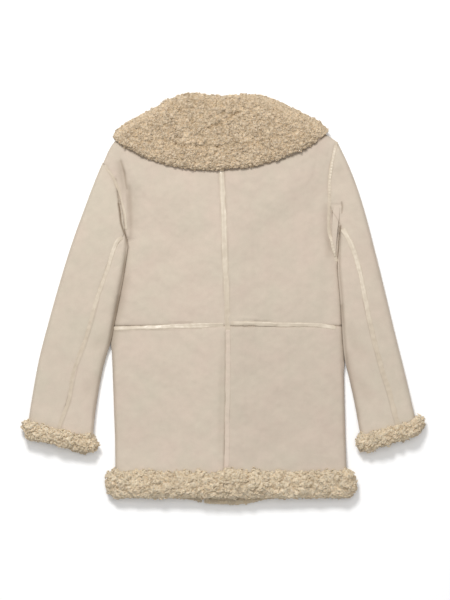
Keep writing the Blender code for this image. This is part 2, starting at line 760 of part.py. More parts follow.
def make_collar_stand(name):
    """The band that joins the neck to the fall, inside the roll."""
    top = []
    under = []
    for step in range(STAND_STEPS + 1):
        x = mix(-STAND_HALF_LENGTH, STAND_HALF_LENGTH, step / STAND_STEPS)
        end = collar_at(x).top - COLLAR_ROLL - SEAM_GAP
        places = (NECK_Y + SEAM_GAP, (NECK_Y + end) / 2, end)
        top.append([(x, y, back_top(x, NECK_Y)) for y in places])
        under.append([(x, y, back_top(x, NECK_Y) - STAND_WALL) for y in places])
    return make_wall(name, top, under, WOOL)


def make_collar_end(name, side):
    """The front of the collar, wool side down, from the shoulder to the centre."""
    under = []
    top = []
    for step in range(COLLAR_END_STEPS + 1):
        x = side * mix(COLLAR_END_X, SEAM_GAP / 2, step / COLLAR_END_STEPS)
        row = collar_at(x)
        low = collar_low_y(x) + COLLAR_END_MARGIN
        high = row.top - collar_roll(row) - COLLAR_END_GAP
        shares = [step / COLLAR_END_COLUMNS for step in range(COLLAR_END_COLUMNS + 1)]
        places = [mix(low, high, share) for share in shares]
        inset = COLLAR_END_INSET
        under.append([(x, max(low + inset, min(high - inset, y)), 0.0) for y in places])
        top.append([(x, y, COLLAR_END_WALL) for y in places])
    return make_wall(name, under, top, WOOL)


def make_centre_strip(name, start, end, low_side, high_side):
    """A strip up the centre of the back, between two distances from its seam."""
    rows = []
    for y in body_rows(LEFT, start, end):
        centre = centre_back_x(y)
        places = (centre + low_side, centre + (low_side + high_side) / 2, centre + high_side)
        rows.append([(x, y, back_top(x, y) + STRIP_LIFT) for x in places])
    return make_strip(name, rows, STRIP_LEATHER)


def make_waist_strip(name, side, centre_y, side_y):
    """A strip over the waist seam, on the points of the back's own row there."""
    panel = back_places(side, WAIST_Y)
    first = centre_back_x(WAIST_Y) + side * (CENTRE_STRIP_WIDTH / 2 + SEAM_GAP)
    half = WAIST_STRIP_WIDTH / 2
    rows = []
    for x in [first, *panel[1:]]:
        y = mix(centre_y, side_y, (x - first) / (panel[-1] - first))
        z = back_top(x, WAIST_Y) + STRIP_LIFT
        rows.append([(x, place, z) for place in (y - half, y, y + half)])
    return make_strip(name, rows, STRIP_LEATHER)


def make_armhole_strip(name, path):
    """A strip through a table of points, as wide as it says."""
    rows = []
    for index, point in enumerate(path):
        before = path[max(0, index - 1)]
        after = path[min(len(path) - 1, index + 1)]
        dx, dy = after.x - before.x, after.y - before.y
        length = math.hypot(dx, dy)
        across_x, across_y = -dy / length, dx / length
        rows.append(
            [
                (point.x + across_x * out, point.y + across_y * out, point.z)
                for out in (-ARMHOLE_STRIP_WIDTH / 2, 0.0, ARMHOLE_STRIP_WIDTH / 2)
            ]
        )
    return make_strip(name, rows, STRIP_LEATHER)


def make_sleeve_strip(name, side):
    """A strip over the back seam of a sleeve, from ring to ring."""
    rows = []
    for ring in sleeve_rings(side)[1:-1]:
        length = math.hypot(ring.inner_x - ring.outer_x, ring.inner_y - ring.outer_y)
        row = []
        for out in (-SLEEVE_STRIP_WIDTH / 2, 0.0, SLEEVE_STRIP_WIDTH / 2):
            share = ring.seam + out / length
            row.append((*on_ring(ring, share), sleeve_top(ring, share) + STRIP_LIFT))
        rows.append(row)
    return make_strip(name, rows, STRIP_LEATHER)


def make_gusset(name, table):
    rows = [[(row.left, row.y, row.z), (row.right, row.y, row.z)] for row in table]
    return make_strip(name, rows, SUEDE)


def main():
    for side, word in ((LEFT, "left"), (RIGHT, "right")):
        make_back(f"back_upper_{word}", side, WAIST_Y + SEAM_GAP / 2, NECK_Y)
        make_back(f"back_lower_{word}", side, HEM_WALL_END_Y, WAIST_Y - SEAM_GAP / 2)
        make_front(f"front_{word}", side)
        make_sleeve(f"sleeve_outer_{word}", side, True)
        make_sleeve(f"sleeve_inner_{word}", side, False)
        make_cuff_band(f"cuff_band_{word}", side)
        make_hem_back(f"hem_band_back_{word}", side)
        make_hem_front(f"hem_band_front_{word}", side)
        make_collar_end(f"collar_end_{word}", side)
        make_sleeve_strip(f"strip_sleeve_{word}", side)
    make_collar_fall("collar_fall")
    make_collar_stand("collar_stand")
    half = CENTRE_STRIP_WIDTH / 2
    make_centre_strip("strip_back_upper", CENTRE_STRIP_END_Y, CENTRE_STRIP_TOP_Y, -half, half)
    make_centre_strip(
        "strip_back_lower",
        HEM_WOOL_TOP_Y + SEAM_GAP,
        CENTRE_STRIP_END_Y - SEAM_GAP,
        LAP_STRIP_START,
        LAP_STRIP_START + LAP_STRIP_WIDTH,
    )
    make_waist_strip("strip_waist_left", LEFT, *WAIST_STRIP_LEFT_Y)
    make_waist_strip("strip_waist_right", RIGHT, *WAIST_STRIP_RIGHT_Y)
    make_armhole_strip("strip_armhole_left", ARMHOLE_STRIP_LEFT)
    make_armhole_strip("strip_armhole_right", ARMHOLE_STRIP_RIGHT)
    make_gusset("gusset_right", GUSSET_RIGHT)


for old in list(bpy.data.objects):
    bpy.data.objects.remove(old, do_unlink=True)
jacket = bpy.data.collections.new("suede_jacket")
bpy.context.scene.collection.children.link(jacket)
main()
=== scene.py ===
"""Dresses the shearling jacket's solids: napped suede, curled wool, smooth leather strips.

The jacket lies flat with its back up. Tables are in millimetres, in the plan of the part's
source: X across the jacket from the top of the centre seam and +Y up to the collar. plan()
moves them to the frame, whose origin is under the middle of the outline.
"""

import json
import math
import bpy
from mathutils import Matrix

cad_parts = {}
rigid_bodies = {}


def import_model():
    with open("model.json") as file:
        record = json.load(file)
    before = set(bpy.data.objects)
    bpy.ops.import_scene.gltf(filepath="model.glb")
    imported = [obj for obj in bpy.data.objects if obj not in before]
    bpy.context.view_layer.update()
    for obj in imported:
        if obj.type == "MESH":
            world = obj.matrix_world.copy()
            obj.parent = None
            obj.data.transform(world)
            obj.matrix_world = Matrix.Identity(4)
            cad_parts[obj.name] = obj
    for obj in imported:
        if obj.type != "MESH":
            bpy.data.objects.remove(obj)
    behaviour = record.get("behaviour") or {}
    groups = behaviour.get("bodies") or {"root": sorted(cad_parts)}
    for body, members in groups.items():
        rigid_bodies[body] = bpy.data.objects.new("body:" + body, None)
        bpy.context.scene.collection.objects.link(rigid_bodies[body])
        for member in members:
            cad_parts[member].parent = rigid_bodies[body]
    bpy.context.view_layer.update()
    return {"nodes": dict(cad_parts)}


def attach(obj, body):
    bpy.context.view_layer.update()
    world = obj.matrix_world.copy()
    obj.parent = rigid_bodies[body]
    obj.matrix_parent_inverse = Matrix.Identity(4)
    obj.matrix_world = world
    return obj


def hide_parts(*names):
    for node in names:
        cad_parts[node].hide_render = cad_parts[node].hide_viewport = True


bl_info = {
    "name": "Shearling jacket, laid flat",
    "version": (1, 0, 0),
    "blender": (4, 5, 0),
    "location": "3D View > Sidebar > Jacket",
    "description": "Suede panels, curled wool and seam strips on a flat-laid shearling jacket",
    "category": "Object",
}

from collections import namedtuple
from functools import partial

import bmesh
import bpy
import numpy as np
from bpy.props import FloatProperty, FloatVectorProperty, PointerProperty
from mathutils import Vector
from mathutils.bvhtree import BVHTree
from mathutils.kdtree import KDTree

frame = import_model()

MM = 0.001
OUTLINE_CENTRE = np.array((2.04, 0.8))


def linear(code):
    """An sRGB hex colour as linear red, green and blue."""
    values = [int(code[start : start + 2], 16) / 255.0 for start in (1, 3, 5)]
    return tuple(v / 12.92 if v <= 0.04045 else ((v + 0.055) / 1.055) ** 2.4 for v in values)


# ---------------------------------------------------------------------------------------
# Sizes of the cloth. A fold is a soft trough along a line, or a ridge if its depth is below
# zero. Width is where it has faded to about a third.

Fold = namedtuple("Fold", "depth width points")
SUEDE_FOLDS = (
    # Beside the left armhole: a pinched fold stands between two creases, over a dark one.
    Fold(1.9, 2.6, ((-203, 282), (-198, 268), (-194, 250), (-191, 232), (-188, 222))),
    Fold(1.0, 4.0, ((-187, 226), (-184.5, 204), (-183, 184), (-181, 160), (-181, 138), (-182, 120))),
    Fold(-1.9, 4.2, ((-196, 250), (-194, 226), (-192.5, 204), (-191.5, 180), (-190.5, 160))),
    Fold(2.2, 2.4, ((-212, 246), (-208.5, 222), (-206, 200), (-203, 180), (-200.5, 160), (-195, 140))),
    Fold(2.0, 11.0, ((-206, 284), (-200, 240), (-190, 190))),
    Fold(1.6, 12.0, ((-184, 240), (-178, 180), (-176, 130))),
    # Beside the right armhole: a shadow under the strip, and the folds above the gusset.
    Fold(1.5, 9.0, ((209, 186), (211, 150), (214, 112), (215, 74))),
    Fold(1.1, 3.0, ((221, 190), (230, 191), (242, 190))),
    Fold(1.5, 2.2, ((240, 196), (242, 186), (241, 174))),
    Fold(-0.9, 4.0, ((222, 183), (232, 184), (240, 182))),
    Fold(1.0, 2.4, ((222, 176), (229, 166), (236, 154))),
    Fold(1.1, 7.0, ((246, 262), (234, 258), (228, 246))),
    Fold(1.2, 3.0, ((212, 128), (218, 104), (228, 78))),
    # Shadow at the body's sides under the arms, and the little fold over the waist strip.
    Fold(1.7, 9.0, ((-185, 88), (-197, 30), (-212, -36), (-214, -90))),
    Fold(-1.1, 3.4, ((28, -36), (50, -36), (74, -38))),
    # Beside the lapped seam below the waist, deepest half way down.
    Fold(1.5, 5.0, ((4, -70), (1, -150), (-1, -220), (-2, -330))),
    # Slack in the sleeves at the elbows, dents, and the shading above the cuffs.
    Fold(1.5, 12.0, ((-222, -60), (-240, -84), (-262, -98))),
    Fold(1.3, 12.0, ((-240, -150), (-262, -172), (-276, -200))),
    Fold(1.4, 12.0, ((252, -50), (268, -92), (292, -118))),
    Fold(1.4, 11.0, ((262, -150), (282, -176), (300, -206))),
    Fold(1.2, 12.0, ((300, 120), (314, 84), (322, 40))),
    Fold(1.3, 8.0, ((322, 30), (334, 16), (338, -6))),
    Fold(1.0, 8.0, ((312, 52), (326, 44), (336, 30))),
)
# Folds up to this wide get finer faces, and a normal this level or less belongs to a side.
# Seams are sunk and a panel swells inland of them. Its skin is smoothed from a little inland
# on, and neighbours bulge until they nearly touch. Painted shade darkens folds and sunk seams,
# so much for each millimetre of depth.
SHARP_FOLD_WIDTH = 4.5
SIDE_SLOPE = 0.4
FOLD_PAINTED_SHADE = 0.09
SEAM_DIP = 1.1
SEAM_DIP_WIDTH = 3.2
SEAM_PAINTED_SHADE = 0.12
PANEL_PUFF = 0.9
PANEL_PUFF_WIDTH = 26.0
SMOOTHED_FROM = 3.0
SMOOTHED_OVER = 5.0
SKIN_SMOOTHING = 14
TOUCH_REACH = 9.0
TOUCH_FADE = 3.0
TOUCH_GAP = 0.3

# Soft waves: the share of each, its length in metres and its seed. The panels' slack has three.
Swell = namedtuple("Swell", "share length seed")
SLACK_SWELLS = (Swell(0.6, 0.085, 11), Swell(0.28, 0.034, 12), Swell(0.12, 0.015, 13))

# How each panel is toned: its shade, partly the skin's own tone and partly painted shade, darker on
# the right-hand panels and the lower right most, and how green it is from 0 to 1.
Dye = namedtuple("Dye", "shade green")
PANEL_TONES = {
    "back_upper_left": Dye(0.965, 0.5),
    "back_upper_right": Dye(0.945, 0.5),
    "back_lower_left": Dye(0.965, 0.6),
    "back_lower_right": Dye(0.925, 0.45),
    "sleeve_outer_left": Dye(0.968, 0.72),
    "sleeve_inner_left": Dye(0.98, 0.6),
    "sleeve_outer_right": Dye(0.953, 0.7),
    "sleeve_inner_right": Dye(0.955, 0.6),
}
PLAIN_TONE = Dye(0.97, 0.5)
GUSSET_SINK = 1.2
# How strongly the lines of painted shade darken the gusset.
GUSSET_PAINTED_SHADE = 0.8

# Lines drawn on a surface, with no depth: how strong each is, and how wide. Those on the suede are lines of
# painted shade.
Mark = namedtuple("Mark", "strength width points")
SHADE_MARKS = (
    # Painted shade along the collar's lower edge, where it lies on the suede.
    Mark(0.8, 2.2, ((-217, 322), (-193, 304), (-163, 288), (-113, 270), (-63, 261), (-13, 258))),
    Mark(0.8, 2.2, ((-13, 258), (27, 261), (77, 268), (127, 282), (167, 300), (197, 320), (215, 336))),
    # Painted shade in the armholes' creases, and in the grooves where the sleeves lie against the body.
    Mark(0.45, 1.6, ((-212, 242), (-208, 217), (-206, 193))),
    Mark(0.85, 2.0, ((-206, 193), (-203.5, 177), (-201, 153), (-196, 138), (-191, 127), (-188, 107))),
    Mark(0.36, 2.3, ((-201.5, 278), (-197, 264), (-194.5, 256), (-191.5, 233), (-189, 223))),
    Mark(0.2, 4.5, ((-185, 226), (-183, 184), (-181.5, 144), (-183, 124))),
    Mark(0.16, 5.0, ((-204, 274), (-194, 226), (-187, 190), (-184, 140))),
    Mark(1.0, 2.6, ((-188, 112), (-187.5, 104), (-193.6, 70), (-197, 44), (-204, 8))),
    Mark(1.0, 3.4, ((-204, 8), (-209.6, -18), (-217, -57), (-223, -91))),
    Mark(0.5, 1.3, ((240, 196), (241.5, 186), (240.5, 174))),
    Mark(0.4, 1.1, ((222, 176), (229, 166), (237, 152))),
    Mark(0.85, 2.0, ((238, 148), (236, 130), (232, 92), (231.5, 66), (234, 38), (239, -10))),
    Mark(0.95, 3.0, ((239, -10), (241.8, -81), (245.4, -120))),
    # Thin lines of painted shade beside the waist strips, the centre strip and the lap below it.
    Mark(0.28, 1.2, ((-104, -45), (-82, -44.5), (-58, -44.5))),
    Mark(0.28, 1.2, ((-216, -63), (-120, -59.5), (-40, -56.5))),
    Mark(0.28, 1.2, ((66, -41), (90, -41.5), (108, -43))),
    Mark(0.28, 1.2, ((22, -52.5), (44, -52.5), (66, -53))),
    Mark(0.2, 1.2, ((-6, 258), (-4.5, 217), (-1.5, 166), (-0.5, 120), (2, 68), (5, 0), (6, -40))),
    Mark(0.2, 1.2, ((6.5, 258), (8, 217), (10.5, 166), (12, 120), (14, 68), (17, 0), (18, -40))),
    Mark(0.22, 2.2, ((8, -64), (7, -150), (6, -230), (5, -330))),
    # Thin lines of painted shade beside the sleeves' strips.
    Mark(0.26, 1.2, ((-244, 2), (-256, -44), (-271, -92), (-287, -133), (-295, -170))),
    Mark(0.26, 1.2, ((-295, -170), (-301, -204), (-313, -236), (-320, -258))),
    Mark(0.3, 1.2, ((282, 0), (298, -72), (313, -130), (330, -184), (342, -232), (349, -258))),
    # Painted shade on the sides of the body under the arms, and on the inner sides of the sleeves.
    Mark(0.16, 9.0, ((-190, 40), (-208, -30), (-218, -90))),
    Mark(0.16, 9.0, ((-234, -110), (-244, -180), (-252, -230))),
    Mark(0.16, 9.0, ((252, -110), (262, -180), (272, -230))),
    Mark(0.14, 7.0, ((209, 190), (212, 140), (216, 90))),
)

# The troughs of the collar: the line above its turned lower edge, and the partings, darkened with
# painted shade. Its wool is brushed smooth along some lines, with a faint painted highlight there,
# and painted light makes it paler along its lower edge.
COLLAR_FOLDS = (
    Fold(
        3.2,
        4.0,
        ((-160, 330), (-144, 317), (-118, 319), (-82, 308), (-20, 305), (48, 310), (98, 321), (124, 338)),
    ),
    Fold(4.2, 4.0, ((-31, 340), (-4, 350), (22, 366), (49, 388))),
    Fold(1.6, 5.0, ((-98, 386), (-74, 372), (-50, 352))),
)
COLLAR_SMOOTH = (
    Mark(1.0, 16.0, ((62, 412), (110, 388), (160, 366), (205, 344))),
    Mark(1.0, 11.0, ((-200, 340), (-170, 362), (-130, 388))),
    Mark(1.0, 9.0, ((-214, 334), (-206, 326))),
    Mark(1.0, 9.0, ((208, 338), (196, 326))),
)
# Painted light along the collar's lower edge.
COLLAR_EDGE_LIGHT = Mark(
    0.12,
    22.0,
    ((-210, 322), (-160, 288), (-110, 270), (-50, 258), (20, 258), (90, 268), (150, 290), (208, 326)),
)
# A faint painted highlight where the collar's wool is brushed smooth.
COLLAR_SMOOTH_LIGHT = 0.03

# A kind of wool: the radius and spacing of its locks, and the width and height of the small
# curls in its pile and of the clumps that these gather in. A pile has the last four, in
# millimetres. Under other pieces the pile is pressed low.
Wool = namedtuple("Wool", "lock spacing curl curl_height clump clump_height")
COLLAR_PILE = (6.2, 3.5, 17.0, 1.5)
BAND_PILE = (9.0, 4.2, 24.0, 3.0)
HIDDEN_COLLAR_PILE = (8.0, 0.5, 20.0, 0.3)
HIDDEN_BAND_PILE = (8.0, 1.4, 20.0, 0.8)
HIDDEN_LOCK = 0.7
HIDDEN_SPACING = 1.1
HIDDEN_CALM = 0.7
# Painted light on the pressed front wool, which lies in shadow under the back band.
HIDDEN_PAINTED_LIGHT = 0.5
FINE_SHARE = 0.68
FOLD_SHADE = 0.12

# How a skin is made under its wool, in millimetres: the size of its faces, and how far it is
# drawn in to leave room for the locks. Its form is smoothed first.
Skin = namedtuple("Skin", "cell shrink")
COLLAR_SKIN = Skin(1.3, 0.2)
BAND_SKIN = Skin(1.6, 1.9)
HIDDEN_BAND_SKIN = Skin(2.3, 1.9)
HIDDEN_COLLAR_SKIN = Skin(3.5, 0.0)
SKIN_KEEP = 0.3
SKIN_ROUNDS = 4

# The hem: where it ends, how far up from there it is combed smooth, how much painted light
# makes it paler there, and how ragged its upper edge is.
HEM_LOWEST = -396.0
HEM_COMBED = 12.0
HEM_CALM = 0.8
HEM_PAINTED_LIGHT = 0.3
HEM_TUFT = 2.2
HEM_TUFTS = (Swell(0.6, 0.03, 61), Swell(0.6, 0.013, 62))

# How far a cuff band is drawn together across its length: the share that is left, at its
# middle and at its ends, how far it moves towards the hand, and how round its ends are.
Squeeze = namedtuple("Squeeze", "middle turn half_length half_width share end_share shift rounding")
SQUEEZES = {
    "left": Squeeze((-330, -262), -15.5, 78.0, 26.0, 0.62, 0.72, 4.6, 9.0),
    "right": Squeeze((338, -262), 18.0, 68.0, 26.0, 0.66, 0.78, 3.0, 9.0),
}

# The strips: the piece that each lies on, how wide and how crowned it is, the length of its
# beads if its thread pinches it, and the line that it is sewn along. The last column is how
# pale it is at each point of the line: partly the leather's own cream colour, partly painted
# highlight where the strip shines.
Strip = namedtuple("Strip", "name finish node bed width crown bead points cream")
STRIPS = (
    Strip(
        "strip_centre_back", "leather", "strip_back_upper", "suede_back_upper_left", 11.0, 1.3, 0.0,
        ((0.3, 268), (1.6, 217), (4.4, 166), (5.6, 120), (8.0, 68), (11.2, 0), (12.0, -40), (12.4, -64)),
        (1.0, 1.0, 0.8, 0.7, 0.55, 0.3, 0.05, 0.0),
    ),
    Strip(
        "lap_centre_back", "suede", "strip_back_lower", "suede_back_lower_right", 10.0, 1.3, 0.0,
        ((12.2, -58), (13.6, -100), (12.8, -160), (11.8, -230), (10.8, -300), (10.4, -346)),
        (0.0, 0.0, 0.0, 0.0, 0.0, 0.0),
    ),
    Strip(
        "strip_waist_left", "leather", "strip_waist_left", "suede_back_lower_left", 8.6, 1.3, 0.0,
        ((-216, -57.5), (-180, -55.5), (-120, -54.0), (-60, -51.5), (-20, -50.0), (5.0, -49.0)),
        (0.5, 0.7, 0.85, 1.0, 0.6, 0.4),
    ),
    Strip(
        "strip_waist_right", "leather", "strip_waist_right", "suede_back_lower_right", 8.6, 1.3, 0.0,
        ((18.0, -46.5), (60, -47.0), (120, -49.5), (170, -49.5), (205, -51.5), (230, -56.5)),
        (0.35, 0.9, 0.6, 0.9, 0.7, 0.5),
    ),
    Strip(
        "strip_armhole_left", "leather", "strip_armhole_left", "suede_back_upper_left", 5.6, 1.2, 0.0,
        ((-234, 271), (-226, 259), (-214.5, 240), (-203.5, 214), (-197.5, 190), (-193, 163), (-190.5, 140)),
        (0.35, 0.25, 0.0, 0.0, 0.05, 0.7, 0.5),
    ),
    Strip(
        "strip_armhole_right", "leather", "strip_armhole_right", "suede_back_upper_right", 6.4, 1.6, 6.0,
        (
            (230.5, 317), (227.5, 303), (222, 278), (218, 252), (216, 226), (215.5, 196),
            (214.5, 164), (215, 142), (219, 122), (225, 98), (231, 76),
        ),
        (0.0, 0.9, 1.0, 1.0, 0.7, 0.15, 0.0, 0.0, 0.5, 0.9, 0.3),
    ),
    Strip(
        "strip_sleeve_left", "leather", "strip_sleeve_left", "suede_sleeve_outer_left", 8.0, 1.1, 0.0,
        (
            (-197, 126), (-209, 116), (-218, 92), (-231, 52), (-249, 2), (-261, -44),
            (-276, -92), (-292, -132), (-300, -170), (-306, -204), (-318, -236), (-326, -258),
        ),
        (0.1, 0.8, 0.8, 0.35, 0.6, 0.2, 0.1, 0.05, 0.1, 0.05, 0.0, 0.0),
    ),
    Strip(
        "strip_sleeve_right", "leather", "strip_sleeve_right", "suede_sleeve_outer_right", 10.0, 1.4, 0.0,
        (
            (242, 143), (250, 128), (262, 104), (277, 54), (287, 2), (303, -72),
            (318, -130), (335, -183), (347, -232), (355, -256),
        ),
        (0.4, 1.0, 1.0, 0.9, 0.8, 0.15, 0.05, 0.05, 0.05, 0.0),
    ),
)

# A strip's section from side to side, the length of its steps, how deep its edges and its
# ends are sunk, how much is turned under, how far it may tilt, how far its ends taper, and
# how far it stands on its panel and reaches into it.
STRIP_SECTION = np.array((-1.0, -0.92, -0.7, -0.35, 0.0, 0.35, 0.7, 0.92, 1.0))
STRIP_STEP = 1.7
STRIP_EDGE_SINK = 0.5
STRIP_TILT = 1.2
STRIP_END = 5.0
STRIP_SETTLING = 3
STRIP_LIFT = 0.15
STRIP_DEPTH = 0.9
STRIP_LEAN = 0.4
STRIP_GREEN = 0.2
SETTLED = (0.1, 0.23, 0.34, 0.23, 0.1)

# How uneven a strip is, with seeds counted from its own: its line's wobble in millimetres, the
# share by which its width varies, the share by which its crown does, and the way it leans.
STRIP_SWELLS = (
    (Swell(0.3, 0.05, 0), Swell(0.12, 0.014, 1)),
    (Swell(0.05, 0.022, 2),),
    (Swell(0.12, 0.045, 4), Swell(0.14, 0.011, 3)),
    (Swell(1.0, 0.045, 4),),
)

# Locks of wool: tubes of a few rings, much thicker than a fibre. Their thickness is a share
# of a lock's radius, and their length a multiple of it.
LOCK_RINGS = 7
LOCK_SIDES = 4
LOCK_KINDS = 24
LOCK_THICKNESS = 0.44
LOCK_LENGTH = 4.4
LOCK_BEND = (150.0, 330.0)
LOCK_LIMIT = 2300
TRIES_PER_PLACE = 6
COVER_REACH = 7.0
LEAST_HEIGHT = 0.1

# The floor: its size in metres, and how far it lies under the jacket, in millimetres.
FLOOR_SIZE = 12.0
FLOOR_DROP = 0.4

# The flat cut of each piece of cloth: its width and length in metres, and its own area.
Cut = namedtuple("Cut", "width length area")


# ---------------------------------------------------------------------------------------
# Shared shapes.


def plan(points):
    """Plan millimetres of the tables as metres in the frame."""
    return (np.array(points, float) - OUTLINE_CENTRE) * MM


def line_distance(places, line):
    """How far each plan place lies from a line of points, and how far along it, from 0 to 1."""
    best = np.full(len(places), 1e9)
    share = np.zeros(len(places))
    lengths = np.linalg.norm(np.diff(line, axis=0), axis=1)
    before = np.concatenate(([0.0], np.cumsum(lengths)))
    for index, length in enumerate(lengths):
        start = line[index]
        step = line[index + 1] - start
        part = np.clip(((places - start) @ step) / (length * length), 0.0, 1.0)
        away = np.linalg.norm(places - start - part[:, None] * step, axis=1)
        nearer = away < best
        best[nearer] = away[nearer]
        share[nearer] = (before[index] + part[nearer] * length) / before[-1]
    return best, share


def fading(away, width):
    """From 1 on a line to 0 far from it. Width, in millimetres, is where a third is left."""
    return np.exp(-((away / (width * MM)) ** 2))


def fold_depth(places, folds):
    """The depth of all folds at each plan place, in metres. Each fades out towards its ends."""
    depth = np.zeros(len(places))
    for fold in folds:
        away, share = line_distance(places, plan(fold.points))
        fade = np.sin(np.pi * np.clip(share, 0.02, 0.98)) ** 0.6
        depth += fold.depth * MM * fade * fading(away, fold.width)
    return depth


def marked(points, marks):
    """How strongly marks cover each point, from 0 to 1."""
    strength = np.zeros(len(points))
    for mark in marks:
        away, _ = line_distance(points[:, :2], plan(mark.points))
        strength = np.maximum(strength, mark.strength * fading(away, mark.width))
    return strength


def waves(points, length, seed, count=28):
    """A smooth random field with swells of one length, with a mean of 0 and a spread of 1."""
    random = np.random.default_rng(seed)
    ways = random.normal(size=(count, 3))
    ways /= np.linalg.norm(ways, axis=1)[:, None]
    ways *= 2.0 * math.pi / length * random.uniform(0.7, 1.35, (count, 1))
    return np.cos(points @ ways.T + random.uniform(0.0, 2.0 * math.pi, count)).sum(1) / math.sqrt(count / 2.0)


def swelling(points, swells, seed=0):
    """The sum of several fields of waves, with their seeds counted from a first one."""
    return sum(swell.share * waves(points, swell.length, seed + swell.seed) for swell in swells)


def clumps(points, length, seed):
    """Rounded lumps with sharp valleys between them, from 0 in a valley to about 1."""
    bent = points + 0.18 * length * np.stack(
        [waves(points, length * 1.3, seed + turn, 12) for turn in (1, 2, 3)], axis=1
    )
    return np.clip(np.abs(waves(bent, length * 2.0, seed)) * 1.1, 0.0, 1.6) ** 0.75


def clean_copy(node, rims_sharp):
    """A node's mesh as joined quads, with its rims marked sharp or left to round off."""
    bm = bmesh.new()
    bm.from_mesh(frame["nodes"][node].data)
    bmesh.ops.remove_doubles(bm, verts=bm.verts, dist=0.02 * MM)
    bmesh.ops.join_triangles(
        bm, faces=bm.faces, angle_face_threshold=math.radians(60), angle_shape_threshold=math.pi
    )
    crease = bm.edges.layers.float.new("crease_edge")
    for edge in bm.edges if rims_sharp else ():
        if len(edge.link_faces) == 2 and edge.calc_face_angle() > math.radians(55):
            edge[crease] = 1.0
    return bm


def smooth_copy(name, node, levels, cell=None, rims_sharp=True):
    """A new piece on a node's own form, rounded by subdivision, then cut in even cells."""
    bm = clean_copy(node, rims_sharp)
    mesh = bpy.data.meshes.new(name)
    bm.to_mesh(mesh)
    bm.free()
    piece = bpy.data.objects.new(name, mesh)
    bpy.context.scene.collection.objects.link(piece)
    rounder = piece.modifiers.new("Rounder", "SUBSURF")
    rounder.levels = rounder.render_levels = levels
    rounder.boundary_smooth = "PRESERVE_CORNERS"
    bpy.ops.object.select_all(action="DESELECT")
    bpy.context.view_layer.objects.active = piece
    piece.select_set(True)
    bpy.ops.object.modifier_apply(modifier=rounder.name)
    if cell:
        even = piece.modifiers.new("Even cells", "REMESH")
        even.mode = "VOXEL"
        even.voxel_size = cell
        bpy.ops.object.modifier_apply(modifier=even.name)
    piece.data.shade_smooth()
    return piece


def read_points(mesh):
    points = np.empty(len(mesh.vertices) * 3)
    mesh.vertices.foreach_get("co", points)
    normals = np.empty(len(mesh.vertices) * 3)
    mesh.vertex_normals.foreach_get("vector", normals)
    return points.reshape(-1, 3), normals.reshape(-1, 3)


def write_points(mesh, points):
    mesh.vertices.foreach_set("co", points.astype(np.float32).ravel())
    mesh.update()


def write_values(mesh, name, values):
    layer = mesh.attributes.get(name) or mesh.attributes.new(name, "FLOAT", "POINT")
    layer.data.foreach_set("value", np.asarray(values, np.float32))


def make_piece(name, points, faces, material):
    """A new object of points and faces, with its place in its mesh."""
    mesh = bpy.data.meshes.new(name)
    mesh.from_pydata([tuple(point) for point in points], [], faces)
    mesh.validate()
    mesh.materials.append(material)
    mesh.shade_smooth()
    piece = bpy.data.objects.new(name, mesh)
    bpy.context.scene.collection.objects.link(piece)
    return piece


def surface_of(objects):
    """The surface of objects together, to cast rays at."""
    points, faces = [], []
    for item in objects:
        start = len(points)
        points += [vertex.co.copy() for vertex in item.data.vertices]
        faces += [[start + index for index in face.vertices] for face in item.data.polygons]
    return BVHTree.FromPolygons(points, faces)


def suede_pieces(scene):
    return [piece for piece in scene.objects if piece.name.startswith("suede_")]


def give_to_frame(piece, slot, *nodes):
    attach(piece, "root")
    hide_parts(*nodes)


# ---------------------------------------------------------------------------------------
# Materials.


def add_node(tree, kind, settings=None, links=None, output=0):
    """Adds a node, sets its properties and values, links its inputs and returns an output."""
    node = tree.nodes.new(f"ShaderNode{kind}")
    for name, value in (settings or {}).items():
        if isinstance(name, int) or name in node.inputs:
            node.inputs[name].default_value = value
        else:
            setattr(node, name, value)
    for name, socket in (links or {}).items():
        tree.links.new(socket, node.inputs[name])
    return node.outputs[output]


def new_material(name):
    """A material, what adds a node to it, and the place that its patterns are drawn on."""
    material = bpy.data.materials.new(name)
    material.use_nodes = True
    add = partial(add_node, material.node_tree)
    return material, add, add("TexCoord", output="Object")


def finish_material(material, values, links):
    """Sets values on a material's shader, and links what the patterns give."""
    shader = material.node_tree.nodes["Principled BSDF"]
    for name, value in values.items():
        shader.inputs[name].default_value = value
    for name, socket in links.items():
        material.node_tree.links.new(socket, shader.inputs[name])
    return material


def opaque(colour):
    return (*colour, 1.0)


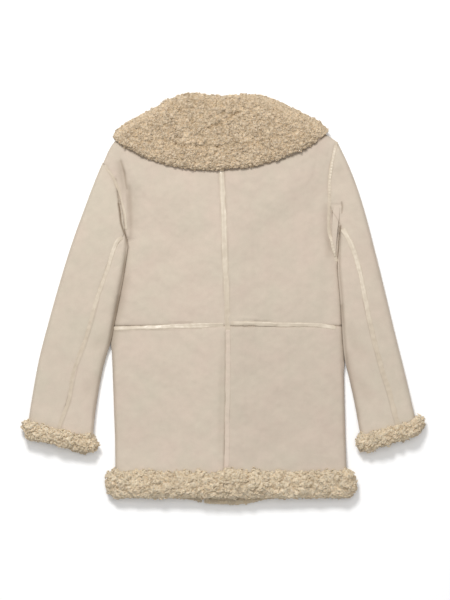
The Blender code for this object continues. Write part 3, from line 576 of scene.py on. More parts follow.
def suede_material(settings):
    """Sheepskin suede: buffed on the flesh side, so it is matt, with a short nap.

    The nap lies in brushed patches, which look a little warmer or greener, and hand-sized
    clouds of dye show under it. Painted shade darkens it in its creases, along its seams and
    along lines where shade falls.
    """
    material, add, place = new_material("napped_suede")
    clouds = add("TexNoise", {"Scale": 1 / (60 * MM), "Detail": 3.0, "Roughness": 0.55}, {"Vector": place})
    clouds = add("MapRange", {"From Min": 0.32, "From Max": 0.68}, {"Value": clouds})
    brushed = add("TexNoise", {"Scale": 1 / (16 * MM), "Detail": 3.0, "Roughness": 0.6}, {"Vector": place})
    brushed = add("MapRange", {"From Min": 0.3, "From Max": 0.7}, {"Value": brushed})
    speckle = add("TexNoise", {"Scale": 1 / (1.3 * MM), "Detail": 2.0, "Roughness": 0.7}, {"Vector": place})
    speckle = add("MapRange", {"From Min": 0.3, "From Max": 0.7}, {"Value": speckle})
    green = add("Attribute", {"attribute_name": "green"}, output="Fac")
    dyed = add("Math", {"operation": "MULTIPLY_ADD", 1: 0.7, 2: -0.35}, {0: clouds})
    greener = add("Math", {"operation": "ADD", "use_clamp": True}, {0: dyed, 1: green})
    colours = {"data_type": "RGBA", 6: opaque(settings.warm), 7: opaque(settings.cool)}
    colour = add("Mix", colours, {0: greener}, 2)
    panel = add("Attribute", {"attribute_name": "shade"}, output="Fac")
    shade = add("Math", {"operation": "MULTIPLY_ADD", 1: 0.06, 2: 0.97}, {0: brushed})
    fine = add("Math", {"operation": "MULTIPLY_ADD", 1: 0.06, 2: -0.03}, {0: speckle})
    shade = add("Math", {"operation": "ADD"}, {0: shade, 1: fine})
    shade = add("Math", {"operation": "MULTIPLY"}, {0: shade, 1: panel})
    colour = add("VectorMath", {"operation": "SCALE"}, {0: colour, "Scale": shade})
    # Painted shade: the crease attribute mixes in the dark shade colour in creases, along seams and along
    # shaded lines.
    crease = add("Attribute", {"attribute_name": "crease"}, output="Fac")
    painted_shade = add("MapRange", {"To Max": 0.8}, {"Value": crease})
    colours = {"data_type": "RGBA", 7: opaque(settings.crease)}
    colour = add("Mix", colours, {0: painted_shade, 6: colour}, 2)
    nap = add("TexNoise", {"Scale": 1 / (0.9 * MM), "Detail": 3.0, "Roughness": 0.7}, {"Vector": place})
    nap = add("Bump", {"Strength": 0.6, "Distance": settings.nap_height}, {"Height": nap})
    soft = add("TexNoise", {"Scale": 1 / (14 * MM), "Detail": 2.0, "Roughness": 0.5}, {"Vector": place})
    soft = add("Bump", {"Strength": 0.5, "Distance": 0.9 * MM}, {"Height": soft, "Normal": nap})
    values = {
        "Roughness": 0.92,
        "IOR": 1.45,
        "Specular IOR Level": 0.2,
        "Sheen Weight": settings.sheen,
        "Sheen Roughness": 0.55,
        "Sheen Tint": opaque(linear("#F3E6D6")),
    }
    return finish_material(material, values, {"Base Color": colour, "Normal": soft})


def wool_material(name, settings, body, tip, curl, crevice):
    """Sheep's wool, left curled on the skin, parted in small curls, with fine fibre over them.
    Its colour holds painted shade, dark as the roots deep in the pile and in thin crevices
    between the curls, and painted light, pale where the tips catch the light. "tip" runs from 0
    at the root to 1, and "lock" is a random shade for each lock.
    """
    material, add, place = new_material(name)
    # The tip attribute is painted light and shade: root colour where it is low, tip colour where it is high.
    light_share = add("Attribute", {"attribute_name": "tip"}, output="Fac")
    lock = add("Attribute", {"attribute_name": "lock"}, output="Fac")
    low = add("MapRange", {"From Max": 0.33}, {"Value": light_share})
    colours = {"data_type": "RGBA", 6: opaque(settings.root), 7: opaque(body)}
    colour = add("Mix", colours, {0: low}, 2)
    high = add("MapRange", {"From Min": 0.4}, {"Value": light_share})
    colour = add("Mix", {"data_type": "RGBA", 7: opaque(tip)}, {0: high, 6: colour}, 2)
    patches = add("TexNoise", {"Scale": 1 / (30 * MM), "Detail": 3.0, "Roughness": 0.6}, {"Vector": place})
    patches = add("MapRange", {"From Min": 0.3, "From Max": 0.7}, {"Value": patches})
    shade = add("Math", {"operation": "MULTIPLY_ADD", 1: 0.16, 2: 0.92}, {0: lock})
    cloudy = add("Math", {"operation": "MULTIPLY_ADD", 1: 0.1, 2: -0.05}, {0: patches})
    shade = add("Math", {"operation": "ADD"}, {0: shade, 1: cloudy})
    colour = add("VectorMath", {"operation": "SCALE"}, {0: colour, "Scale": shade})
    # Painted shade in thin crevices between curls: the root colour is mixed in where the noise crosses its
    # middle.
    bent = {"Scale": 1 / curl, "Detail": 1.5, "Roughness": 0.55, "Distortion": 1.1}
    curls = add("TexNoise", bent, {"Vector": place})
    curls = add("Math", {"operation": "SUBTRACT", 1: 0.5}, {0: curls})
    curls = add("Math", {"operation": "ABSOLUTE"}, {0: curls})
    crevice_shade_mix = add("MapRange", {"From Max": 0.065, "To Min": 1.0 - crevice}, {"Value": curls})
    colours = {"data_type": "RGBA", 6: opaque(settings.root)}
    colour = add("Mix", colours, {0: crevice_shade_mix, 7: colour}, 2)
    rounded = add("MapRange", {"From Max": 0.14}, {"Value": curls})
    curled = add("Bump", {"Strength": 0.8, "Distance": settings.curl_height}, {"Height": rounded})
    fibre = add("TexNoise", {"Scale": 1 / (1.1 * MM), "Detail": 4.0, "Roughness": 0.75}, {"Vector": place})
    relief = {"Strength": 0.7, "Distance": settings.fibre_height}
    fibre = add("Bump", relief, {"Height": fibre, "Normal": curled})
    values = {
        "Roughness": 0.95,
        "IOR": 1.5,
        "Specular IOR Level": 0.15,
        "Sheen Weight": settings.sheen,
        "Sheen Roughness": 0.6,
        "Sheen Tint": opaque(linear("#FFF3DC")),
        "Subsurface Weight": settings.glow,
        "Subsurface Radius": (1.0, 0.85, 0.65),
        "Subsurface Scale": settings.glow_reach,
    }
    return finish_material(material, values, {"Base Color": colour, "Normal": fibre})


def strip_material(settings):
    """Nappa: lamb's leather with its grain side out, dyed cream and pressed smooth, so it
    has a satin gloss that breaks up where the seam puckers it. Its colour runs from the rubbed
    colour to cream, partly its own colour and partly a painted highlight where it shines.
    """
    material, add, place = new_material("smooth_nappa")
    # Paleness along the strip: partly the leather's own cream, partly painted highlight.
    cream = add("Attribute", {"attribute_name": "cream"}, output="Fac")
    clouds = add("TexNoise", {"Scale": 1 / (14 * MM), "Detail": 3.0, "Roughness": 0.6}, {"Vector": place})
    spread = {"From Min": 0.3, "From Max": 0.7, "To Min": -0.3, "To Max": 0.3}
    clouds = add("MapRange", spread, {"Value": clouds})
    whole = add("Math", {"operation": "ADD", "use_clamp": True}, {0: cream, 1: clouds})
    colours = {"data_type": "RGBA", 6: opaque(settings.rubbed), 7: opaque(settings.colour)}
    colour = add("Mix", colours, {0: whole}, 2)
    gloss = add("MapRange", {"To Min": 0.9, "To Max": settings.roughness}, {"Value": whole})
    pores = add("TexVoronoi", {"Scale": 1 / (1.2 * MM), "feature": "F1"}, {"Vector": place})
    grain = add("Bump", {"Strength": 0.25, "Distance": 0.08 * MM}, {"Height": pores})
    links = {"Base Color": colour, "Roughness": gloss, "Normal": grain}
    return finish_material(material, {"IOR": 1.5, "Specular IOR Level": 0.5}, links)


def material_of(name, make, *values):
    """A material by name, made once."""
    return bpy.data.materials.get(name) or make(*values)


def suede():
    return material_of("napped_suede", suede_material, bpy.context.scene.jacket_suede)


def nappa():
    return material_of("smooth_nappa", strip_material, bpy.context.scene.jacket_strips)


def wool_of(part):
    """The wool of the "collar" or of a "band"."""
    settings = bpy.context.scene.jacket_wool
    name = f"curled_{part}_wool"
    looks = (getattr(settings, f"{part}{key}") for key in ("", "_tip", "_curl", "_crevice"))
    return material_of(name, wool_material, name, settings, *looks)


# ---------------------------------------------------------------------------------------
# Suede panels.


def side_distance(mesh, points, normals):
    """How far each point lies from the outer side of its own panel, in plan."""
    faces = [face.vertices for face in mesh.polygons]
    skin = BVHTree.FromPolygons([Vector(point) for point in points], faces)
    sides = [
        index
        for index in np.nonzero(np.abs(normals[:, 2]) < SIDE_SLOPE)[0]
        if skin.ray_cast(points[index] + normals[index] * 0.5 * MM, (0.0, 0.0, 1.0), 0.1)[0] is None
    ]
    if not sides:
        return np.full(len(points), 1.0)
    tree = KDTree(len(sides))
    for index in sides:
        tree.insert((points[index, 0], points[index, 1], 0.0), int(index))
    tree.balance()
    return np.array([tree.find((x, y, 0.0))[2] for x, y in points[:, :2]])


def refine(piece, wanted):
    """Cuts each edge of the wanted faces in two. wanted takes their centres and normals."""
    bm = bmesh.new()
    bm.from_mesh(piece.data)
    centres = np.array([face.calc_center_median() for face in bm.faces])
    normals = np.array([face.normal for face in bm.faces])
    chosen = wanted(centres, normals)
    edges = {edge for face, take in zip(bm.faces, chosen) if take for edge in face.edges}
    bmesh.ops.subdivide_edges(bm, edges=sorted(edges, key=lambda e: e.index), cuts=1, use_grid_fill=True)
    bmesh.ops.triangulate(bm, faces=[face for face in bm.faces if len(face.verts) > 4])
    bm.to_mesh(piece.data)
    bm.free()
    piece.data.shade_smooth()


def neighbour_mean(mesh, values, keep, rounds):
    """Values smoothed over their neighbours, where keep is 0, and left where it is 1."""
    edges = np.empty(len(mesh.edges) * 2, int)
    mesh.edges.foreach_get("vertices", edges)
    edges = edges.reshape(-1, 2)
    count = np.bincount(edges.ravel(), minlength=len(values)).astype(float)
    count[count == 0] = 1.0
    for _ in range(rounds):
        total = np.bincount(edges[:, 0], values[edges[:, 1]], len(values))
        total += np.bincount(edges[:, 1], values[edges[:, 0]], len(values))
        values = keep * values + (1.0 - keep) * total / count
    return values


def facing_up(_, normals):
    return normals[:, 2] > 0.1


def near_sharp_folds(centres, normals):
    near = np.zeros(len(centres), bool)
    for fold in SUEDE_FOLDS:
        if fold.width <= SHARP_FOLD_WIDTH:
            away, _ = line_distance(centres[:, :2], plan(fold.points))
            near |= away < 2.0 * fold.width * MM
    return near & (normals[:, 2] > 0.2)


def fold_panel(mesh, slack):
    """Folds a panel and sinks its seams. Returns the painted shade at each point, from 0 to 1."""
    points, normals = read_points(mesh)
    up = np.clip(normals[:, 2] * 1.4, 0.0, 1.0)
    edge = side_distance(mesh, points, normals)
    inland = np.clip((edge / MM - SMOOTHED_FROM) / SMOOTHED_OVER, 0.0, 1.0) * (normals[:, 2] > 0.5)
    points[:, 2] = neighbour_mean(mesh, points[:, 2], 1.0 - inland, SKIN_SMOOTHING)
    depth = fold_depth(points[:, :2], SUEDE_FOLDS)
    dip = SEAM_DIP * MM * fading(edge, SEAM_DIP_WIDTH)
    puff = PANEL_PUFF * MM * (1.0 - np.exp(-edge / (PANEL_PUFF_WIDTH * MM)))
    points[:, 2] += up * (puff + slack * swelling(points, SLACK_SWELLS) - depth - dip)
    write_points(mesh, points)
    # Painted shade, deeper in folds and sunk seams, plus the lines of painted shade on the upper faces.
    painted_shade = up * np.clip((np.maximum(depth, 0.0) * FOLD_PAINTED_SHADE + dip * SEAM_PAINTED_SHADE) / MM, 0.0, 1.0)
    shown = np.clip(normals[:, 2] * 1.4 + 0.9, 0.0, 1.0)
    return np.clip(painted_shade + shown * marked(points, SHADE_MARKS), 0.0, 1.0)


def make_panel(node, cell, folded=True):
    """One suede panel: the node's form, with its folds, slack and sewn edges."""
    piece = smooth_copy(f"suede_{node}", node, 2, cell)
    if not cell:
        refine(piece, facing_up)
    if folded:
        refine(piece, near_sharp_folds)
        painted_shade = fold_panel(piece.data, bpy.context.scene.jacket_suede.slack)
    else:
        painted_shade = np.zeros(len(piece.data.vertices))
    dress_suede(piece, node, painted_shade)


def dress_suede(piece, node, painted_shade):
    """Gives a piece its suede, with its panel's tone and the painted shade at each point."""
    mesh = piece.data
    tone = PANEL_TONES.get(node, PLAIN_TONE)
    # The crease attribute carries the painted shade.
    write_values(mesh, "crease", painted_shade)
    # The panel's shade: partly its own tone, partly painted shade.
    write_values(mesh, "shade", np.full(len(painted_shade), tone.shade))
    write_values(mesh, "green", np.full(len(painted_shade), tone.green))
    mesh.materials.clear()
    mesh.materials.append(suede())
    give_to_frame(piece, "suede", node)


def close_gaps(pieces):
    """Lets the sides of neighbouring panels bulge until they nearly touch."""
    moves = {}
    for piece in pieces:
        others = surface_of([other for other in pieces if other is not piece])
        mesh = piece.data
        points, normals = read_points(mesh)
        ways = normals * (1.0, 1.0, 0.0)
        size = np.linalg.norm(ways, axis=1)
        push = np.zeros(len(points))
        for index in np.nonzero((size > 0.55) & (points[:, 2] > 1.0 * MM))[0]:
            way = ways[index] / size[index]
            away = others.ray_cast(points[index], way, TOUCH_REACH * MM)[3]
            if away is not None:
                fade = np.clip((TOUCH_REACH - away / MM) / TOUCH_FADE, 0.0, 1.0)
                push[index] = max(0.0, away - TOUCH_GAP * MM) / 2.0 * fade
        push = neighbour_mean(mesh, push, np.full(len(points), 0.4), 2)
        moves[piece] = points + ways / np.maximum(size, 0.2)[:, None] * push[:, None]
    for piece, points in moves.items():
        write_points(piece.data, points)


class JACKET_OT_back(bpy.types.Operator):
    """Makes the four back panels, with their folds and sewn edges"""

    bl_idname = "jacket.back"
    bl_label = "Back panels"
    bl_options = {"REGISTER", "UNDO"}

    def execute(self, context):
        cell = context.scene.jacket_suede.cell
        for part in ("upper", "lower"):
            for side in ("left", "right"):
                make_panel(f"back_{part}_{side}", cell)
        return {"FINISHED"}


class JACKET_OT_fronts(bpy.types.Operator):
    """Makes the two fronts that the jacket lies on, left plain"""

    bl_idname = "jacket.fronts"
    bl_label = "Fronts"
    bl_options = {"REGISTER", "UNDO"}

    def execute(self, context):
        cell = 2.0 * context.scene.jacket_suede.cell
        make_panel("front_right", cell, folded=False)
        make_panel("front_left", cell, folded=False)
        return {"FINISHED"}


class JACKET_OT_sleeves(bpy.types.Operator):
    """Makes both halves of each sleeve, with slack at the elbows"""

    bl_idname = "jacket.sleeves"
    bl_label = "Sleeves"
    bl_options = {"REGISTER", "UNDO"}

    def execute(self, context):
        for part in ("outer", "inner"):
            for side in ("left", "right"):
                make_panel(f"sleeve_{part}_{side}", None)
        close_gaps(suede_pieces(context.scene))
        return {"FINISHED"}


# ---------------------------------------------------------------------------------------
# Strips and the gusset.


def rounded_line(points, step):
    """A smooth line through points, with a point about every step."""
    line = [2 * points[0] - points[1], *points, 2 * points[-1] - points[-2]]
    out = []
    for a, b, c, d in zip(line, line[1:], line[2:], line[3:]):
        count = max(2, round(np.linalg.norm(c - b) / step))
        for t in np.arange(count) / count:
            bend = (2 * a - 5 * b + 4 * c - d) * t * t + (3 * b - a - 3 * c + d) * t * t * t
            out.append(0.5 * (2 * b + (c - a) * t + bend))
    out.append(line[-2])
    return np.array(out)


def length_along(points):
    """How far along their line points lie."""
    return np.concatenate(([0.0], np.cumsum(np.linalg.norm(np.diff(points, axis=0), axis=1))))


def settled(heights):
    """Rows of heights, each averaged with the two before it and the two after it."""
    padded = np.pad(heights, ((2, 2), (0, 0)), mode="edge")
    return sum(weight * padded[k : k + len(heights)] for k, weight in enumerate(SETTLED))


def strip_spots(line, width, wobble):
    """The plan place of each point of a strip, in rows across its line."""
    along = np.gradient(line, axis=0)
    along /= np.linalg.norm(along, axis=1)[:, None]
    across = np.stack([-along[:, 1], along[:, 0]], axis=1)
    out = wobble[:, None] + STRIP_SECTION[None, :] * width[:, None] / 2
    return line[:, None, :] + across[:, None, :] * out[:, :, None]


def bed_heights(name, spots, surface):
    """How high the panels stand under a strip's spots, evened out because a strip is stiff."""
    heights = np.full(spots.shape[:2], np.nan)
    for row, column in np.ndindex(*heights.shape):
        hit = surface.ray_cast((*spots[row, column], 0.2), (0.0, 0.0, -1.0), 0.3)[0]
        if hit is not None:
            heights[row, column] = hit.z
    bare = np.isnan(heights)
    if bare.all():
        raise RuntimeError(f"{name} lies on nothing")
    rows = np.where(bare, -1.0, heights).max(axis=1)
    found = np.nonzero(rows > -1.0)[0]
    rows = np.interp(np.arange(len(rows)), found, rows[found])[:, None]
    for _ in range(STRIP_SETTLING):
        rows = settled(rows)
    least, most = rows - STRIP_TILT * MM, rows + STRIP_TILT * MM
    heights = np.clip(np.where(bare, least, heights), least, most)
    return np.maximum(settled(heights), heights)


def strip_faces(rows, columns):
    """The faces of a strip: its upper skin, its under skin, and its rim all round."""

    def at(skin, row, column):
        return (skin * rows + row) * columns + column

    faces = []
    for row in range(rows - 1):
        for column in range(columns - 1):
            corners = ((row, column), (row, column + 1), (row + 1, column + 1), (row + 1, column))
            faces.append([at(0, *corner) for corner in corners])
            faces.append([at(1, *corner) for corner in reversed(corners)])
    rim = [((row, column), (row + 1, column)) for row in range(rows - 1) for column in (0, columns - 1)]
    rim += [((row, column), (row, column + 1)) for column in range(columns - 1) for row in (0, rows - 1)]
    for here, after in rim:
        faces.append([at(0, *here), at(0, *after), at(1, *after), at(1, *here)])
    return faces


def make_strip(strip, surface):
    """A crowned strip, laid on the panels along its line, with the puckers of its seam."""
    path = plan(strip.points)
    line = rounded_line(path, STRIP_STEP * MM)
    steps, marks = length_along(line), length_along(path)
    length = steps[-1]
    cream = np.interp(steps / length, marks / marks[-1], strip.cream)
    bead = np.ones(len(line))
    if strip.bead:
        bead = 0.4 + 0.75 * np.abs(np.sin(math.pi * steps / (strip.bead * MM)))
        # Paler on each bead's crown: a painted highlight.
        cream = cream * np.clip(bead, 0.0, 1.0)
    ends = np.clip(np.minimum(steps, length - steps) / (STRIP_END * MM), 0.0, 1.0)
    taper = np.sqrt(1.0 - (1.0 - ends) ** 2)
    seed = sum(map(ord, strip.name))
    flat = np.column_stack([line, np.zeros(len(line))])
    wobble, uneven, puckers, swell = (swelling(flat, swells, seed) for swells in STRIP_SWELLS)
    width = strip.width * MM * (1.0 + uneven) * (0.55 + 0.45 * taper)
    spots = strip_spots(line, width, wobble * MM)
    base = bed_heights(strip.name, spots, surface)
    crown = (np.clip(1.0 - STRIP_SECTION**2, 0.0, 1.0) ** 0.8)[None, :]
    lean = STRIP_LEAN * MM * swell[:, None] * STRIP_SECTION[None, :]
    height = strip.crown * MM * taper * bead * (1.0 + puckers)
    if strip.finish == "leather":
        height *= 0.18 + 0.82 * cream
    sunk = STRIP_EDGE_SINK * MM * ((1.0 - taper)[:, None] + (np.abs(STRIP_SECTION) == 1.0)[None, :])
    upper = np.dstack([spots, base + (height[:, None] + lean) * crown + STRIP_LIFT * MM - sunk])
    under = np.dstack([spots, base - STRIP_DEPTH * MM])
    points = np.concatenate([upper.reshape(-1, 3), under.reshape(-1, 3)])
    material = suede() if strip.finish == "suede" else nappa()
    piece = make_piece(f"{strip.finish}_{strip.name}", points, strip_faces(*base.shape), material)
    turn_outwards(piece.data)
    write_values(piece.data, "cream", np.tile(np.repeat(cream, len(STRIP_SECTION)), 2))
    for name, value in (("crease", 0.0), ("shade", 1.0), ("green", STRIP_GREEN)):
        write_values(piece.data, name, np.full(len(points), value))
    give_to_frame(piece, "strip_leather", strip.node)


def turn_outwards(mesh):
    """Turns a closed mesh's faces outwards."""
    bm = bmesh.new()
    bm.from_mesh(mesh)
    bmesh.ops.recalc_face_normals(bm, faces=bm.faces)
    bm.to_mesh(mesh)
    bm.free()


class JACKET_OT_strips(bpy.types.Operator):
    """Sews the leather strips and the lapped suede seam on the panels"""

    bl_idname = "jacket.strips"
    bl_label = "Seam strips"
    bl_options = {"REGISTER", "UNDO"}

    def execute(self, context):
        surface = surface_of(suede_pieces(context.scene))
        for strip in STRIPS:
            make_strip(strip, surface)
        return {"FINISHED"}


class JACKET_OT_gusset(bpy.types.Operator):
    """Makes the underarm gusset, a wedge of suede between the sleeve and the body"""

    bl_idname = "jacket.gusset"
    bl_label = "Gusset"
    bl_options = {"REGISTER", "UNDO"}

    def execute(self, context):
        piece = smooth_copy("suede_gusset_right", "gusset_right", 4, rims_sharp=False)
        points, _ = read_points(piece.data)
        points[:, 2] -= GUSSET_SINK * MM
        write_points(piece.data, points)
        # The gusset is darkened by the lines of painted shade.
        dress_suede(piece, "gusset_right", GUSSET_PAINTED_SHADE * marked(points, SHADE_MARKS))
        return {"FINISHED"}


# ---------------------------------------------------------------------------------------
# Wool.


def lock_shape(size, thick, random):
    """One curled lock, lying on the XY plane: a tube that bends round on itself. Its middle
    stands highest, and both of its ends taper off and dive into the pile.

    Returns its points, its faces and how near each point is to the light.
    """
    t = np.linspace(0.0, 1.0, LOCK_RINGS)
    bend = math.radians(random.uniform(*LOCK_BEND)) * random.choice((-1.0, 1.0))
    sway = random.uniform(-0.9, 0.9)
    heading = random.uniform(0.0, 2.0 * math.pi) + bend * (t - 0.5) + sway * np.sin(2.0 * math.pi * t)
    step = size * LOCK_LENGTH * random.uniform(0.85, 1.2) / (LOCK_RINGS - 1)
    centres = np.zeros((LOCK_RINGS, 3))
    centres[1:, 0] = np.cumsum(np.cos((heading[1:] + heading[:-1]) / 2)) * step
    centres[1:, 1] = np.cumsum(np.sin((heading[1:] + heading[:-1]) / 2)) * step
    centres[:, :2] -= centres[:, :2].mean(0)
    tilt = 0.5 * random.uniform(-1, 1) * (t - 0.5)
    centres[:, 2] = thick * (-0.7 + 1.7 * np.sin(math.pi * t) ** 0.8 + tilt)
    radii = thick * (0.3 + 0.75 * np.sin(math.pi * t) ** 0.7)
    along = np.gradient(centres, axis=0)
    along /= np.linalg.norm(along, axis=1)[:, None]
    side = np.cross(along, (0.0, 0.0, 1.0))
    side /= np.linalg.norm(side, axis=1)[:, None]
    up = np.cross(side, along)
    turn = 2.0 * math.pi * (np.arange(LOCK_SIDES) + 0.5) / LOCK_SIDES
    rim = np.cos(turn)[None, :, None] * side[:, None, :] + np.sin(turn)[None, :, None] * up[:, None, :]
    points = (centres[:, None, :] + radii[:, None, None] * rim).reshape(-1, 3)
    faces = []
    for ring in range(LOCK_RINGS - 1):
        for corner in range(LOCK_SIDES):
            after = (corner + 1) % LOCK_SIDES
            here, there = ring * LOCK_SIDES, (ring + 1) * LOCK_SIDES
            faces.append((here + corner, here + after, there + after, there + corner))
    faces.append(tuple(reversed(range(LOCK_SIDES))))
    faces.append(tuple(range((LOCK_RINGS - 1) * LOCK_SIDES, LOCK_RINGS * LOCK_SIDES)))
    return points, faces, np.clip(0.5 + 0.35 * points[:, 2] / thick, 0.0, 1.0)


def scatter(piece, spacing, random, wanted):
    """Places on a piece's faces, about spacing apart, with their normals."""
    mesh = piece.data
    mesh.calc_loop_triangles()
    corners = np.empty(len(mesh.loop_triangles) * 3, int)
    mesh.loop_triangles.foreach_get("vertices", corners)
    corners = corners.reshape(-1, 3)
    points, normals = read_points(mesh)
    a, b, c = (points[corners[:, k]] for k in range(3))
    areas = np.linalg.norm(np.cross(b - a, c - a), axis=1) / 2
    count = int(areas.sum() / (spacing * spacing) * TRIES_PER_PLACE)
    chosen = random.choice(len(areas), count, p=areas / areas.sum())
    u, v = random.random((2, count))
    over = u + v > 1.0
    u[over], v[over] = 1.0 - u[over], 1.0 - v[over]
    shares = np.stack([1.0 - u - v, u, v], axis=1)[:, :, None]
    spots = (points[corners[chosen]] * shares).sum(1)
    facing = (normals[corners[chosen]] * shares).sum(1)
    facing /= np.linalg.norm(facing, axis=1)[:, None]
    taken = {}
    kept = []
    cells = np.floor(spots / spacing).astype(int)
    steps = [(dx, dy, dz) for dx in (-1, 0, 1) for dy in (-1, 0, 1) for dz in (-1, 0, 1)]
    for index, spot in enumerate(spots):
        x, y, z = cells[index]
        near = [other for dx, dy, dz in steps for other in taken.get((x + dx, y + dy, z + dz), ())]
        if near and (((spots[near] - spot) ** 2).sum(1) < spacing * spacing).any():
            continue
        if wanted(spot, facing[index]):
            taken.setdefault((x, y, z), []).append(index)
            kept.append(index)
    return spots[kept], facing[kept]


def pile(points, wool, seed, calm):
    """How high the pile stands at each point, in metres, and how open to light from 0 to 1."""
    fine = clumps(points, wool.curl, seed)
    finer = clumps(points, wool.curl * 0.55, seed + 40)
    coarse = clumps(points, wool.clump, seed + 5)
    curls = wool.curl_height * (FINE_SHARE * fine + (1.0 - FINE_SHARE) * finer)
    height = (1.0 - 0.6 * calm) * (curls + wool.clump_height * coarse)
    open_to_light = np.clip(-0.08 + 0.72 * fine**0.7 + 0.2 * finer + 0.14 * coarse, 0.0, 1.0)
    return height, open_to_light + calm * (0.75 - open_to_light)


def cloudy_shade(points, wool, seed):
    return np.clip(0.5 + 0.2 * waves(points, wool.clump * 1.5, seed + 9), 0.0, 1.0)


def nowhere(points):
    return np.zeros(len(points))


# How wool grows on a piece: its kind, its material, its seed, and where it is brushed calm and
# how much painted light makes it paler, each a function of points.
Growth = namedtuple("Growth", "wool material seed calm paler", defaults=(nowhere, nowhere))


def unit(ways):
    return ways / np.linalg.norm(ways, axis=1)[:, None]


def grow_locks(node, base, growth):
    """Curled locks on a base, in one mesh. They stand higher where the wool clumps."""
    wool, seed = growth.wool, growth.seed
    random = np.random.default_rng(seed)
    thick = wool.lock * LOCK_THICKNESS
    spots, facing = scatter(base, wool.spacing, random, open_side(node))
    if len(spots) > LOCK_LIMIT:
        chosen = np.sort(random.permutation(len(spots))[:LOCK_LIMIT])
        spots, facing = spots[chosen], facing[chosen]
    count = len(spots)
    shapes = [lock_shape(wool.lock, thick, random) for _ in range(LOCK_KINDS)]
    kind = random.integers(0, LOCK_KINDS, count)
    turn = random.uniform(0.0, 2.0 * math.pi, count)
    lump = clumps(spots, wool.clump, seed + 5)
    scale = random.uniform(0.7, 1.2, count) * (0.86 + 0.26 * lump)
    shade = 0.7 * cloudy_shade(spots, wool, seed) + 0.3 * random.random(count)
    combed = np.stack([waves(spots, wool.clump * 2.0, seed + extra) for extra in (21, 22, 23)], axis=1)
    up = unit(facing + 0.3 * combed + random.normal(0.0, 0.3, (count, 3)))
    guide = np.where(np.abs(up[:, 2:3]) < 0.9, [[0.0, 0.0, 1.0]], [[1.0, 0.0, 0.0]])
    first = unit(np.cross(up, guide))
    side = first * np.cos(turn)[:, None] + np.cross(up, first) * np.sin(turn)[:, None]
    other = np.cross(up, side)
    sunk = thick * (0.1 + 0.6 * growth.calm(spots)) + random.normal(0.0, 0.25 * thick, count)
    roots = spots - facing * sunk[:, None]
    points, faces, light_shares, locks = [], [], [], []
    total = 0
    for index, (shape, shape_faces, light_share) in enumerate(shapes):
        rows = np.nonzero(kind == index)[0]
        grown = shape[None, :, :] * scale[rows][:, None, None]
        ways = (side, other, up)
        placed = roots[rows][:, None, :] + sum(
            grown[:, :, axis : axis + 1] * way[rows][:, None, :] for axis, way in enumerate(ways)
        )
        points.append(placed.reshape(-1, 3))
        starts = total + np.arange(len(rows)) * len(shape)
        faces.append((np.array(shape_faces)[None, :, :] + starts[:, None, None]).reshape(-1, 4))
        # Painted light and shade on each lock: paler up its top and on higher clumps, darker down its
        # underside.
        light_shares.append((light_share[None, :] * 0.6 + 0.2 + 0.15 * (lump[rows][:, None] - 0.5)).reshape(-1))
        locks.append(np.repeat(shade[rows], len(shape)))
        total += len(rows) * len(shape)
    points = np.concatenate(points)
    points[:, 2] = np.maximum(points[:, 2], LEAST_HEIGHT * MM)
    piece = make_piece(f"wool_{node}", points, np.concatenate(faces).tolist(), growth.material)
    write_values(piece.data, "tip", np.clip(np.concatenate(light_shares) + growth.paler(points), 0.0, 1.0))
    write_values(piece.data, "lock", np.concatenate(locks))
    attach(piece, "root")
    return piece


def make_skin(node, skin, growth, folds=(), reshape=None):
    """The skin and the pile on it: the node's form, raised in small curls and clumps."""
    piece = smooth_copy(f"skin_{node}", node, 1, skin.cell * MM)
    mesh = piece.data
    wool, seed = growth.wool, growth.seed
    smooth = read_points(mesh)[0]
    for axis in range(3):
        smooth[:, axis] = neighbour_mean(mesh, smooth[:, axis], SKIN_KEEP, SKIN_ROUNDS)
    write_points(mesh, reshape(smooth) if reshape else smooth)
    points, normals = read_points(mesh)
    height, open_to_light = pile(points, wool, seed, growth.calm(points))
    depth = fold_depth(points[:, :2], folds) * (normals[:, 2] > 0.3)
    middle = 0.5 * (wool.curl_height + wool.clump_height)
    points += normals * (height - middle - skin.shrink * MM - depth)[:, None]
    points[:, 2] = np.maximum(points[:, 2], 0.0)
    write_points(mesh, points)
    # Painted light and shade: pale where the pile is open to light or painted light is added, dark in
    # valleys, with painted shade in folds.
    open_to_light = open_to_light + growth.paler(points) - FOLD_SHADE * depth / MM
    write_values(mesh, "tip", np.clip(open_to_light, 0.0, 1.0))
    write_values(mesh, "lock", cloudy_shade(points, wool, seed))
    mesh.materials.clear()
    mesh.materials.append(growth.material)
    give_to_frame(piece, "wool", node)
    return piece


def open_side(node):
    """A test for places on a node's wool that nothing covers and that don't lie on the floor."""
    others = surface_of([part for name, part in frame["nodes"].items() if name != node])
    own = surface_of([frame["nodes"][node]])

    def wanted(spot, facing):
        if facing[2] < -0.55 and spot[2] < 3.0 * MM:
            return False
        if others.ray_cast(spot + facing * 0.8 * MM, facing, COVER_REACH * MM)[0] is not None:
            return False
        return own.ray_cast(spot + facing * 5.0 * MM, facing, COVER_REACH * MM)[0] is None

    return wanted


def grow_wool(node, skin, growth, folds=(), reshape=None):
    """A skin with its pile, and the locks that stand on it."""
    base = make_skin(node, skin, growth, folds, reshape)
    grow_locks(node, base, growth)


def collar_calm(points):
    """From 0 to 1, where the collar's wool is brushed smooth: on its slopes and at its tips."""
    return marked(points, COLLAR_SMOOTH)


def collar_painted_light(points):
    """How much painted light makes the collar's wool paler: along its lower edge, and faintly where it is
    smooth.
    """
    return marked(points, (COLLAR_EDGE_LIGHT,)) + COLLAR_SMOOTH_LIGHT * collar_calm(points)


def wool_sizes(lock, spacing, sizes):
    """A kind of wool, with its pile's sizes given in millimetres."""
    return Wool(lock, spacing, *(size * MM for size in sizes))


